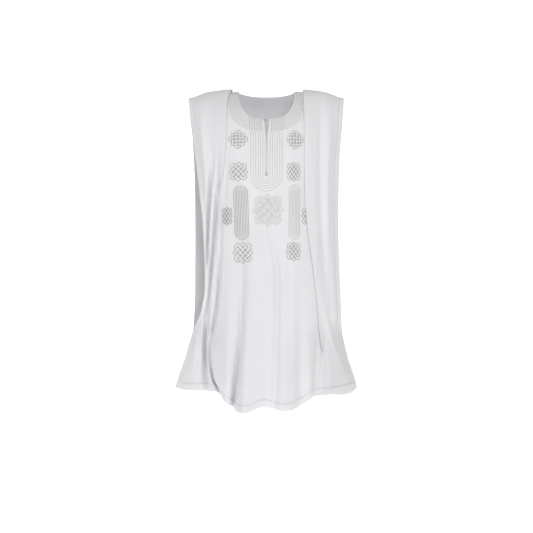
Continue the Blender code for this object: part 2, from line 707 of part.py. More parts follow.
def make_plastron(tree, straight, bend):
    """Nested U-shaped cords from the neck band down round the end of the slit."""
    cords = round((PLASTRON_HALF_WIDTH - PLASTRON_INNER) / CORD_PITCH)
    rows = 2 * straight + bend + 1
    spots = []
    for i in range(rows):
        for k in range(2 * cords + 1):
            out = PLASTRON_INNER + (PLASTRON_HALF_WIDTH - PLASTRON_INNER) * k / (2 * cords)
            turn = math.pi * min(max((i - straight) / bend, 0.0), 1.0)
            up = max(straight - i, i - straight - bend, 0) / straight
            drop = PLASTRON_TURN_DROP + out * math.sin(turn)
            drop += (plastron_top(out) - PLASTRON_TURN_DROP) * up
            spots.append((-out * math.cos(turn), drop))
    cells = grid_cells(rows, 2 * cords + 1)
    return make_patch("plastron", FRONT, tree, spots, cells, cord_heights(cords, rows))


def make_oval(name, tree, top_x, bottom_x, top, bottom, half):
    """A tall patch of upright cords with round ends."""
    cords = OVAL_CORDS
    rows = 9
    spots = []
    for i in range(rows):
        way = i / (rows - 1)
        for k in range(2 * cords + 1):
            across = (k / cords - 1.0) * 0.985
            end = half * (1.0 - math.sqrt(1.0 - across * across))
            drop = top + end + (bottom - top - 2.0 * end) * way
            spots.append((top_x + (bottom_x - top_x) * way + half * across, drop))
    cells = grid_cells(rows, 2 * cords + 1)
    return make_patch(name, FRONT, tree, spots, cells, cord_heights(cords, rows))


def make_knot(name, tree, middle_x, middle_drop, width, height, turned):
    """An interlaced knot as a raised lattice; what runs under the right pleat is left off."""
    size = len(KNOT_CHART)
    spots = []
    index = {}
    cells = []

    def spot(i, j):
        if (i, j) not in index:
            across = j / size - 0.5
            down = i / size - 0.5
            if turned:
                across, down = (across - down) * TURNED_SIZE, (across + down) * TURNED_SIZE
            index[i, j] = len(spots)
            spots.append((middle_x + across * width, middle_drop + down * height))
        return index[i, j]

    pleat_x = float(FRONT.lines[6](middle_drop))
    for i in range(size):
        for j in range(size):
            if KNOT_CHART[i][j] != "#":
                continue
            ring = [spot(i, j), spot(i, j + 1), spot(i + 1, j + 1), spot(i + 1, j)]
            if max(spots[k][0] for k in ring) < pleat_x:
                cells.append(tuple(ring))
    used = sorted({k for cell in cells for k in cell})
    place = {k: n for n, k in enumerate(used)}
    cells = [tuple(place[k] for k in cell) for cell in cells]
    spots = [spots[k] for k in used]
    heights = [BACKING + 0.6 * CORD_RISE] * len(spots)
    return make_patch(name, FRONT, tree, spots, cells, heights)


def main():
    """Makes the robe."""
    clear_scene()
    front = make_panel("front_panel", FRONT, FRONT_SPANS, FRONT_ROWS)
    back = make_panel("back_panel", BACK, BACK_SPANS, BACK_ROWS)
    slit_bearing = math.asin((0.5 * SLIT_WIDTH / NECK_HALF_WIDTH + 0.03) ** (0.5 * FRONT.neck_square))
    side = 0.5 * math.pi
    make_neck_band("neck_band_left", FRONT, front, -side, -slit_bearing, 11)
    make_neck_band("neck_band_right", FRONT, front, slit_bearing, side, 11)
    make_neck_band("neck_band_back", BACK, back, -side, side, 18)
    make_plastron(front, 5, 10)
    for row in OVALS:
        make_oval(row[0], front, *row[1:])
    for row in KNOTS:
        make_knot(row[0], front, *row[1:])


main()
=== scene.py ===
"""Grand boubou robe: the cloth, its hems and the silver-grey embroidery, in studio light.

Metres, +Z up, the wearer facing -Y, the origin at the middle of the shoulder line.
"Drop" is a distance below the origin, "out" is away from the body.
"""

import math

import bpy
import numpy as np
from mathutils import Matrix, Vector


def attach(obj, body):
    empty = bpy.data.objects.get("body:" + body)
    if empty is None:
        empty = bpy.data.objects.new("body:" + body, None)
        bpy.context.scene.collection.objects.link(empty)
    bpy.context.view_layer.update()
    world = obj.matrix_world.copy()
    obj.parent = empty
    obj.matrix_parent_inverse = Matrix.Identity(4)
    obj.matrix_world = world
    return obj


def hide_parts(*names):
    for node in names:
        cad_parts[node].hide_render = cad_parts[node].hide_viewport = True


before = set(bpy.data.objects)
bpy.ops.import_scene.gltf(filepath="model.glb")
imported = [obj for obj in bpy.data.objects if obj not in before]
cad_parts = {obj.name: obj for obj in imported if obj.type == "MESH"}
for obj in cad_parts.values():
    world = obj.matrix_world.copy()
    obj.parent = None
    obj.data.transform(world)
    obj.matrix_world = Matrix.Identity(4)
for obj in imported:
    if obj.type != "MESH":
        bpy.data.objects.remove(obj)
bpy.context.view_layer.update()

# Driving dimensions of the robe, metres
CLOTH_WALL = 0.0010
SEAM_GAP = 0.0003
NECK_HALF_WIDTH = 0.103
NECK_DROP_FRONT = 0.114
# drop of the neckline, its squareness, and the cloth's length for one radian of turn there
FRONT_NECK = (NECK_DROP_FRONT, 3.9, 0.250)
BACK_NECK = (0.012, 2.4, 0.130)
# height over which the cloth turns down from the shoulder line: in the middle and at the tip
FRONT_CAPS = (0.300, 0.100)
BACK_CAPS = (0.170, 0.100)
SHOULDER_TIP = 0.283
SHOULDER_SLOPE = 0.0234
SLIT_WIDTH = 0.021
SLIT_TAPER = 0.086
SLIT_DROP = 0.320
CLOSED_SLIT = 0.0006
SIDE_SEAM_DROP = 0.872
HEM_LEVEL = 1.1
BAND_WIDTH = 0.047
# for each metre out from the neckline: how much squarer the band gets, and how far it moves sideways
BAND_SQUARENESS = 20.0
BAND_SIDEWAYS = 0.80
# the part of the neck's half width by which the band stops short of the slit
BAND_STOP = 0.03
ARC_PITCH = 0.0071
UPRIGHT_PITCH = 0.0086
PLASTRON_HALF_WIDTH = 0.0595
PLASTRON_TURN_DROP = 0.316
SIDE_HEM = 0.016
BOTTOM_HEM = 0.027
# how far the turned hem stands proud, how softly it ends, and the stitched groove inside its edge
HEM_STEP = 0.0010
HEM_END = 0.0020
GROOVE_INSIDE = 0.0015
GROOVE_WIDTH = 0.0026
GROOVE_DEPTH = 2.4 * HEM_STEP
PUCKER_LENGTHS = (0.0060, 0.017)
# a small move on the cloth, for its slopes
STEP = 0.0005

# Lines of a panel, counted from its left edge to its right
LEFT_PLEAT_LINE = 1
RIGHT_PLEAT_LINE = 6
MIDDLE_LINE = 4.0
NECK_LINES = (3.0, 5.0)
NECK_CORNER = math.radians(45.0)

# Meshes: steps across each span between two lines; rows over the shoulder, below it, and at the neck
FRONT_MESH = ((30, 26, 26, 24, 24, 18, 22, 26), 36, 150, 18)
BACK_MESH = ((22, 22, 12, 22, 22, 12, 22, 22), 30, 120, 6)
# rows at the hem, where the mesh is finer, as parts of the way up from it
LAST_EVEN_WAY = 0.955
HEM_WAYS = (0.038, 0.0345, 0.031, 0.0290, 0.0270, 0.0250, 0.023, 0.020, 0.012, 0.004, 0.0)

# Finishes
CLOTH_WHITE = "#EDEDEF"
CLOTH_SHADE = "#E5E5E8"
THREADS = (
    # name, colour, painted shade in the grooves between the threads, roughness
    ("silver_grey_rayon", "#F6F6F7", "#EAEAEC", 0.42),
    ("bright_grey_rayon", "#ECECEC", "#E0E0E0", 0.42),
    ("middling_grey_rayon", "#CACACB", "#BABABB", 0.45),
    ("smoke_grey_rayon", "#BEBEBE", "#A8A8A7", 0.50),
    ("deep_grey_rayon", "#8C8C8F", "#78787B", 0.50),
    # white sewing thread coloured grey: painted shade of the stitched groove along the hems
    ("white_sewing_thread_in_painted_shade", "#D6D6D9", "#CACACE", 0.60),
)
# a wave texture at scale 1 repeats after this length
WAVE_LENGTH = 0.314
# the soft wrinkles of worn cloth are some 60 mm across and 200 mm long, the clouds of its tone 140 mm
WRINKLE_WIDTH = 0.0625
WRINKLE_SHAPE = (1.0, 1.0, 0.30)
CLOUD_SIZE = 1.0 / 7.0
# the cloth's threads are 0.45 mm apart and the stitches 0.4 mm, drawn coarser so that they show
THREAD_PITCH = 0.0018
STITCH_PITCH = 0.0012
# the stitches along the hems: length, from one to the next, the drops between which a side has them,
# and how far the bottom ones lie inside the hem's edge
STITCH_LENGTH = 0.0030
STITCH_STEP = 0.0045
SIDE_STITCHES = (0.03, 1.06)
STITCH_INSIDE = 0.0012

# Studio
FLOOR_HEIGHT = -1.55
PAPER_HALF_WIDTH = 6.0
PAPER_FRONT = -6.0
PAPER_TOP = 2.9
SWEEP_START = 1.6
SWEEP_RADIUS = 1.4
GLOW = 0.66
FAR_GLOW = 0.05
GLOW_FADE = (1.8, 3.4)
SKY_STRENGTH = 0.332
SOFTBOXES = (
    # name, place, target, size, watts
    ("front_softbox", (0.70, -3.4, 0.1), (0.0, 0.0, -0.55), 1.1, 18.5),
    ("top_softbox", (0.3, -1.7, 1.5), (0.0, 0.0, -0.1), 1.4, 16.0),
    ("side_softbox", (-2.4, -2.6, -0.3), (0.0, 0.0, -0.55), 1.8, 11.5),
    ("backdrop_light", (0.0, 0.9, 1.6), (0.0, 3.0, 0.9), 2.4, 9.0),
)
CAMERA_AWAY = 3.8
CAMERA_HEIGHT = -0.637
CAMERA_LENS = 70.3

# The side edges of each panel, and how far it stands out at the edges and in the middle
FRONT_SECTIONS = (
    # drop, left_x, right_x, edge_depth, centre_depth, fullness
    (0.000, -0.2855, 0.2840, 0.046, 0.136, 2.2),
    (0.130, -0.2710, 0.2725, 0.058, 0.142, 2.3),
    (0.330, -0.2450, 0.2580, 0.070, 0.146, 2.4),
    (0.520, -0.2260, 0.2582, 0.072, 0.148, 2.4),
    (0.700, -0.2203, 0.2640, 0.066, 0.158, 2.4),
    (0.790, -0.2341, 0.2695, 0.046, 0.164, 2.4),
    (0.872, -0.2675, 0.2765, 0.002, 0.170, 2.4),
    (0.967, -0.2967, 0.2972, 0.002, 0.176, 2.5),
    (1.077, -0.3314, 0.3296, 0.002, 0.186, 2.6),
    (1.150, -0.3420, 0.3340, 0.002, 0.192, 2.6),
)
BACK_SECTIONS = (
    # drop, left_x, right_x, edge_depth, centre_depth, fullness
    (0.000, -0.2855, 0.2840, 0.046, 0.124, 2.2),
    (0.130, -0.2760, 0.2765, 0.062, 0.128, 2.3),
    (0.330, -0.2670, 0.2690, 0.072, 0.126, 2.4),
    (0.520, -0.2650, 0.2670, 0.074, 0.122, 2.4),
    (0.700, -0.2650, 0.2680, 0.064, 0.130, 2.4),
    (0.790, -0.2655, 0.2710, 0.044, 0.136, 2.4),
    (0.872, -0.2675, 0.2765, 0.002, 0.142, 2.3),
    (0.967, -0.2967, 0.2972, 0.002, 0.150, 2.3),
    (1.077, -0.3314, 0.3296, 0.002, 0.162, 2.3),
    (1.150, -0.3420, 0.3340, 0.002, 0.168, 2.3),
)

# Lines of the cloth that run from the shoulder to the hem; a pleat lies between its two
FRONT_LINES = (
    # drop, left pleat out, in, left neck, centre, right neck, right pleat in, out
    (0.00, -0.174, -0.150, -0.103, 0.000, 0.103, 0.1545, 0.1785),
    (0.05, -0.182, -0.158, -0.098, 0.000, 0.098, 0.1520, 0.1760),
    (0.08, -0.181, -0.157, -0.087, 0.000, 0.087, 0.1510, 0.1750),
    (0.12, -0.179, -0.155, -0.090, 0.000, 0.090, 0.1500, 0.1740),
    (0.25, -0.178, -0.154, -0.098, 0.000, 0.098, 0.1485, 0.1725),
    (0.36, -0.186, -0.160, -0.103, 0.000, 0.104, 0.1490, 0.1730),
    (0.50, -0.205, -0.168, -0.104, 0.000, 0.106, 0.1585, 0.1825),
    (0.65, -0.210, -0.173, -0.108, 0.000, 0.110, 0.1755, 0.1995),
    (0.80, -0.216, -0.178, -0.112, 0.000, 0.114, 0.1870, 0.2110),
    (0.95, -0.232, -0.182, -0.114, 0.000, 0.116, 0.1890, 0.2130),
    (1.15, -0.224, -0.160, -0.112, 0.000, 0.112, 0.1740, 0.1980),
)
BACK_LINES = (
    # drop, left pleat out, in, left neck, centre, right neck, right pleat in, out
    (0.00, -0.174, -0.150, -0.103, 0.000, 0.103, 0.1545, 0.1785),
    (0.01, -0.176, -0.152, -0.078, 0.000, 0.078, 0.1543, 0.1783),
    (0.05, -0.182, -0.158, -0.086, 0.000, 0.086, 0.1535, 0.1775),
    (0.20, -0.182, -0.156, -0.100, 0.000, 0.100, 0.1580, 0.1820),
    (0.50, -0.205, -0.170, -0.106, 0.000, 0.106, 0.1680, 0.2000),
    (0.85, -0.215, -0.170, -0.112, 0.000, 0.112, 0.1700, 0.2150),
    (1.15, -0.240, -0.180, -0.116, 0.000, 0.116, 0.1800, 0.2400),
)

# Knife pleats: the outer cloth laps inward over the middle of the panel
FRONT_LEFT_PLEAT = (
    # drop, reach, rise, sink
    (0.000, 0.0400, 0.0115, 0.000),
    (0.050, 0.0300, 0.0085, 0.001),
    (0.120, 0.0250, 0.0060, 0.001),
    (0.190, 0.0220, 0.0055, 0.002),
    (0.245, 0.0180, 0.0055, 0.003),
    (0.307, 0.0120, 0.0060, 0.005),
    (0.368, 0.0027, 0.0060, 0.006),
    (0.440, 0.0000, 0.0040, 0.005),
    (0.560, 0.0000, 0.0010, 0.002),
    (1.150, 0.0000, 0.0000, 0.000),
)
FRONT_RIGHT_PLEAT = (
    # drop, reach, rise, sink
    (0.000, 0.0340, 0.0115, 0.000),
    (0.120, 0.0290, 0.0060, 0.001),
    (0.250, 0.0260, 0.0040, 0.003),
    (0.500, 0.0260, 0.0040, 0.006),
    (0.650, 0.0220, 0.0036, 0.004),
    (0.800, 0.0170, 0.0034, 0.003),
    (0.890, 0.0100, 0.0044, 0.004),
    (0.950, 0.0027, 0.0050, 0.006),
    (1.020, 0.0000, 0.0044, 0.006),
    (1.150, 0.0000, 0.0020, 0.004),
)
BACK_LEFT_PLEAT = (
    # drop, reach, rise, sink
    (0.000, 0.0400, 0.0115, 0.000),
    (0.100, 0.0300, 0.0100, 0.003),
    (0.250, 0.0180, 0.0100, 0.004),
    (0.330, 0.0100, 0.0130, 0.005),
    (0.410, 0.0027, 0.0140, 0.005),
    (0.490, 0.0000, 0.0120, 0.005),
    (0.750, 0.0000, 0.0020, 0.003),
    (1.150, 0.0000, 0.0000, 0.000),
)
BACK_RIGHT_PLEAT = (
    # drop, reach, rise, sink
    (0.000, 0.0340, 0.0115, 0.000),
    (0.100, 0.0290, 0.0100, 0.003),
    (0.250, 0.0200, 0.0100, 0.004),
    (0.330, 0.0110, 0.0130, 0.005),
    (0.410, 0.0027, 0.0140, 0.005),
    (0.490, 0.0000, 0.0120, 0.005),
    (0.800, 0.0000, 0.0020, 0.003),
    (1.150, 0.0000, 0.0000, 0.000),
)
# how far the sink reaches inward, and the rise fades outward
SINK_WIDTH = 0.060
RISE_FADE = 0.075
# the turned part of a pleat, the laps at which it starts to swing and is fully three-layered
FOLD_WIDTH = 0.36
LEAST_LAP = 0.006
FULL_LAP = 0.020
# how far below the shoulder line the pleat still follows the line's slope
RIDGE_FADE = 0.200

# Soft folds along three points each; a positive height is a ridge, a negative one a trough
# name; drop and x of the top, middle and low points; three heights; widths at the top and the foot
FRONT_FOLDS = (
    ("left_sleeve_ridge", 0.04, -0.245, 0.22, -0.228, 0.40, -0.212, 0.004, 0.009, 0.004, 0.020, 0.014),
    ("left_cap_trough", 0.05, -0.215, 0.20, -0.206, 0.33, -0.200, -0.002, -0.003, -0.003, 0.016, 0.012),
    ("left_crease", 0.28, -0.178, 0.37, -0.188, 0.47, -0.198, -0.004, -0.011, -0.008, 0.014, 0.011),
    ("left_flank_trough", 0.34, -0.186, 0.58, -0.193, 0.86, -0.204, -0.010, -0.027, -0.020, 0.026, 0.020),
    ("left_bunch_ridge", 0.50, -0.186, 0.66, -0.191, 0.84, -0.205, 0.004, 0.011, 0.008, 0.006, 0.006),
    ("left_wing_trough", 0.84, -0.244, 0.93, -0.236, 1.06, -0.224, -0.006, -0.016, -0.010, 0.020, 0.020),
    ("middle_trough", 0.56, -0.080, 0.76, -0.088, 1.15, -0.112, -0.002, -0.008, -0.022, 0.018, 0.024),
    ("middle_ridge", 0.58, -0.050, 0.80, -0.066, 1.15, -0.078, 0.003, 0.010, 0.020, 0.022, 0.026),
    ("arch_trough", 0.74, 0.010, 0.94, 0.002, 1.15, -0.004, -0.002, -0.008, -0.016, 0.030, 0.026),
    ("right_lobe_ridge", 0.66, 0.070, 0.90, 0.066, 1.15, 0.066, 0.002, 0.008, 0.016, 0.030, 0.030),
    ("right_hem_trough", 0.82, 0.118, 0.98, 0.116, 1.15, 0.118, -0.003, -0.009, -0.012, 0.020, 0.020),
    ("lens_ridge", 0.84, 0.158, 0.97, 0.152, 1.08, 0.150, 0.003, 0.012, 0.006, 0.018, 0.018),
    ("right_wing_ridge", 0.08, 0.222, 0.45, 0.224, 0.85, 0.246, 0.004, 0.010, 0.008, 0.022, 0.018),
    ("right_wing_trough", 0.10, 0.198, 0.48, 0.206, 0.80, 0.230, -0.003, -0.007, -0.005, 0.014, 0.012),
    ("right_edge_ridge", 0.84, 0.222, 0.95, 0.252, 1.06, 0.296, 0.004, 0.010, 0.006, 0.020, 0.020),
)
BACK_FOLDS = (
    ("back_left_trough", 0.20, -0.120, 0.60, -0.128, 1.15, -0.150, -0.004, -0.012, -0.022, 0.024, 0.030),
    ("back_left_ridge", 0.30, -0.070, 0.70, -0.076, 1.15, -0.088, 0.003, 0.010, 0.018, 0.028, 0.032),
    ("back_middle_trough", 0.42, -0.014, 0.80, -0.010, 1.15, -0.016, -0.003, -0.010, -0.018, 0.026, 0.030),
    ("back_right_ridge", 0.34, 0.052, 0.72, 0.056, 1.15, 0.062, 0.003, 0.009, 0.016, 0.028, 0.032),
    ("back_right_trough", 0.24, 0.110, 0.64, 0.116, 1.15, 0.132, -0.004, -0.012, -0.020, 0.024, 0.028),
    ("back_wing_ridge_left", 0.12, -0.222, 0.50, -0.226, 0.84, -0.236, 0.004, 0.010, 0.006, 0.020, 0.018),
    ("back_wing_ridge_right", 0.12, 0.226, 0.50, 0.230, 0.84, 0.240, 0.004, 0.010, 0.006, 0.020, 0.018),
)
# how far a fold runs out beyond its ends, and how close to the side edges it and a crease come
FOLD_FADE = 0.07
FOLD_POWER = 6
CREASE_POWER = 24

# The left wing hangs back from the middle of the front
WING_STEP = (
    # drop, x, setback
    (0.00, -0.2000, 0.000),
    (0.80, -0.2020, 0.000),
    (0.88, -0.2065, 0.026),
    (0.95, -0.2000, 0.048),
    (1.03, -0.1880, 0.062),
    (1.07, -0.1680, 0.065),
    (1.10, -0.1540, 0.067),
    (1.15, -0.1480, 0.068),
)
WING_STEP_WIDTH = 0.015
WING_STEP_SHARE = 0.55
WING_SLOPE_WIDTH = 0.070
WING_SLOPE_START = 0.030
WING_POWER = 4

FRONT_HEM = (
    # x, drop
    (-0.3380, 1.0780),
    (-0.2900, 1.0853),
    (-0.2126, 1.0830),
    (-0.1780, 1.0840),
    (-0.1485, 1.1120),
    (-0.0936, 1.1450),
    (-0.0582, 1.1412),
    (-0.0268, 1.1290),
    (-0.0035, 1.1260),
    (0.0260, 1.1330),
    (0.0503, 1.1370),
    (0.0839, 1.1360),
    (0.1158, 1.1238),
    (0.1420, 1.1086),
    (0.1700, 1.0920),
    (0.2665, 1.0880),
    (0.3100, 1.0840),
    (0.3380, 1.0730),
)
BACK_HEM = (
    # x, drop
    (-0.3380, 1.0780),
    (-0.2600, 1.0880),
    (-0.1500, 1.1080),
    (0.0000, 1.1160),
    (0.1500, 1.1160),
    (0.2700, 1.1140),
    (0.3100, 1.1020),
    (0.3380, 1.0730),
)

# Finer creases, given in the same way
FRONT_CREASES = (
    ("left_cap_roll", 0.06, -0.262, 0.18, -0.254, 0.34, -0.240, 0.001, 0.005, 0.003, 0.012, 0.016),
    ("left_wing_ridge", 0.08, -0.238, 0.20, -0.228, 0.36, -0.216, 0.002, 0.004, 0.002, 0.008, 0.007),
    ("flank_valley_1", 0.27, -0.193, 0.42, -0.2065, 0.60, -0.2155, -0.010, -0.034, -0.036, 0.0065, 0.005),
    ("flank_valley_2", 0.29, -0.172, 0.50, -0.1855, 0.80, -0.2125, -0.009, -0.030, -0.026, 0.006, 0.005),
    ("flank_valley_3", 0.52, -0.162, 0.755, -0.176, 0.92, -0.205, -0.006, -0.028, -0.020, 0.006, 0.005),
    ("left_wing_valley", 0.79, -0.2185, 0.93, -0.224, 1.05, -0.2225, -0.014, -0.044, -0.024, 0.0065, 0.008),
    ("left_wing_fold", 0.90, -0.258, 0.98, -0.266, 1.06, -0.272, 0.001, 0.004, 0.002, 0.010, 0.012),
    ("panel_edge", 0.95, -0.2045, 1.03, -0.1945, 1.085, -0.1675, -0.010, -0.026, -0.018, 0.0055, 0.0055),
    ("bib_fold_left", 0.22, -0.137, 0.30, -0.140, 0.40, -0.148, -0.001, -0.004, -0.002, 0.008, 0.007),
    ("middle_crease", 0.62, -0.0845, 0.86, -0.0918, 1.13, -0.119, -0.004, -0.021, -0.044, 0.0065, 0.0085),
    ("middle_roll", 0.56, -0.054, 0.72, -0.062, 1.14, -0.086, 0.001, 0.003, 0.005, 0.010, 0.012),
    ("middle_soft", 0.505, 0.011, 0.68, 0.0385, 1.13, 0.030, -0.004, -0.013, -0.012, 0.008, 0.009),
    ("middle_soft_skirts", 0.505, 0.011, 0.68, 0.0385, 1.13, 0.030, -0.003, -0.007, -0.006, 0.018, 0.020),
    ("left_panel_roll", 0.62, -0.132, 0.86, -0.138, 1.12, -0.142, 0.001, 0.005, 0.006, 0.016, 0.018),
    ("right_fine_1", 0.60, 0.096, 0.84, 0.098, 1.12, 0.100, 0.001, 0.003, 0.004, 0.010, 0.012),
    ("right_small_fold", 0.155, 0.147, 0.20, 0.153, 0.26, 0.159, 0.001, 0.004, 0.001, 0.005, 0.005),
    ("right_narrow_crease", 0.39, 0.150, 0.47, 0.158, 0.58, 0.166, -0.002, -0.007, -0.004, 0.005, 0.005),
    ("right_narrow_roll", 0.38, 0.158, 0.47, 0.167, 0.62, 0.176, 0.001, 0.005, 0.002, 0.006, 0.007),
    ("right_wing_fine_1", 0.08, 0.190, 0.32, 0.188, 0.62, 0.198, -0.001, -0.005, -0.003, 0.008, 0.009),
    ("right_wing_fine_2", 0.12, 0.232, 0.40, 0.214, 0.80, 0.220, 0.001, 0.004, 0.002, 0.008, 0.008),
    ("right_low_ridge", 0.76, 0.199, 0.90, 0.238, 1.02, 0.286, 0.002, 0.006, 0.003, 0.008, 0.010),
    ("right_low_crease", 0.78, 0.190, 0.92, 0.206, 1.05, 0.212, -0.002, -0.006, -0.003, 0.008, 0.010),
    ("right_panel_valley", 0.94, 0.177, 1.02, 0.171, 1.13, 0.166, -0.004, -0.010, -0.012, 0.0065, 0.007),
    ("centre_soft_1", 0.46, -0.052, 0.60, -0.046, 0.78, -0.044, -0.001, -0.004, -0.002, 0.012, 0.014),
    ("centre_soft_2", 0.56, 0.006, 0.66, 0.004, 0.86, -0.004, -0.002, -0.004, -0.002, 0.012, 0.018),
    ("centre_soft_3", 0.56, 0.070, 0.70, 0.074, 0.90, 0.076, -0.001, -0.004, -0.002, 0.010, 0.014),
)
BACK_CREASES = (
    ("back_fine_left", 0.30, -0.040, 0.60, -0.044, 1.00, -0.052, 0.001, 0.004, 0.003, 0.014, 0.014),
    ("back_fine_right", 0.26, 0.086, 0.60, 0.090, 1.00, 0.096, 0.001, 0.004, 0.003, 0.014, 0.014),
)

# Embroidered knots: middle x, middle drop, width, height, turned 45 degrees or not
KNOTS = (
    ("knot_centre", 0.0056, 0.4400, 0.1110, 0.1155, True),
    ("knot_upper_left", -0.1005, 0.1880, 0.0700, 0.0670, False),
    ("knot_upper_right", 0.1010, 0.1900, 0.0600, 0.0690, False),
    ("knot_second_left", -0.0985, 0.3030, 0.0680, 0.0715, True),
    ("knot_second_right", 0.0960, 0.3040, 0.0520, 0.0715, True),
    ("knot_side_left", -0.1400, 0.4590, 0.0420, 0.0710, True),
    ("knot_side_right", 0.1490, 0.4590, 0.0530, 0.0710, True),
    ("knot_lower_left", -0.0830, 0.5885, 0.0720, 0.0790, True),
    ("knot_lower_right", 0.0955, 0.5840, 0.0530, 0.0710, True),
)
OVALS = (
    # name, top x, bottom x, top drop, bottom drop, half width, loops
    ("oval_left", -0.0925, -0.0855, 0.3480, 0.5470, 0.0270, 9),
    ("oval_right", 0.0985, 0.0980, 0.3480, 0.5450, 0.0210, 7),
)


def smooth_step(value):
    """0 below 0, 1 above 1 and a soft ramp between."""
    part = np.clip(value, 0.0, 1.0)
    return part * part * (3.0 - 2.0 * part)


def smooth_curve(places, values):
    """A smooth curve through the given values that never passes beyond them."""
    places = np.asarray(places, dtype=float)
    values = np.asarray(values, dtype=float)
    gaps = np.diff(places)
    rates = np.diff(values) / gaps
    slopes = np.zeros(len(places))
    slopes[0] = rates[0]
    slopes[-1] = rates[-1]
    for i in range(1, len(places) - 1):
        if rates[i - 1] * rates[i] > 0.0:
            slopes[i] = 2.0 * rates[i - 1] * rates[i] / (rates[i - 1] + rates[i])

    def read(place):
        place = np.clip(place, places[0], places[-1])
        i = np.clip(np.searchsorted(places, place) - 1, 0, len(gaps) - 1)
        t = (place - places[i]) / gaps[i]
        blend = t * t * (3.0 - 2.0 * t)
        lift = gaps[i] * (slopes[i] * t * (1.0 - t) ** 2 - slopes[i + 1] * t * t * (1.0 - t))
        return values[i] + (values[i + 1] - values[i]) * blend + lift

    return read


def lengths_along(points):
    """The length of a line of points up to each of them."""
    steps = np.linalg.norm(np.diff(points, axis=0), axis=1)
    return np.concatenate([[0.0], np.cumsum(steps)])


def path_of(x, drop):
    """A path on the cloth from its places across and down."""
    return np.stack(np.broadcast_arrays(x, drop), axis=1)


def table_curves(table):
    """One smooth curve for each column of a table after the first."""
    rows = np.array(table)
    return [smooth_curve(rows[:, 0], rows[:, k]) for k in range(1, rows.shape[1])]


def ridge_drop(x):
    """The slope of the shoulder line from the neck to its tip."""
    reach = np.clip((np.abs(x) - NECK_HALF_WIDTH) / (SHOULDER_TIP - NECK_HALF_WIDTH), 0.0, 1.2)
    return SHOULDER_SLOPE * reach ** 1.5


class Pleat:
    """A knife pleat between two lines of a panel; side is 1 for the right, -1 for the left."""

    def __init__(self, side, table):
        self.side = side
        self.reach, self.rise, self.sink = table_curves(table)

    def shift(self, x, drop, middle, half):
        """How far the pleat carries a point sideways and outward."""
        reach = self.reach(drop)
        along = (x - middle) * self.side / half
        fold = np.clip(along, -1.0, 1.0)
        swing = (reach + 0.5 * half) * smooth_step(reach / LEAST_LAP)
        sideways = -swing * np.sin(math.pi * fold) * self.side
        layers = smooth_step((fold + 0.5) / FOLD_WIDTH + 0.5)
        layers = layers + smooth_step((fold - 0.5) / FOLD_WIDTH + 0.5)
        lapped = smooth_step(reach / FULL_LAP)
        layers = layers * lapped + 2.0 * smooth_step(0.5 * (fold + 1.0)) * (1.0 - lapped)
        beyond = (along * half - reach - 0.5 * half) / RISE_FADE
        inside = (-1.0 - along) * half / SINK_WIDTH
        rise = self.rise(drop) * 0.5 * layers * (1.0 - smooth_step(beyond))
        sink = self.sink(drop) * (1.0 - 0.5 * layers) * (1.0 - smooth_step(inside))
        return sideways, rise - sink


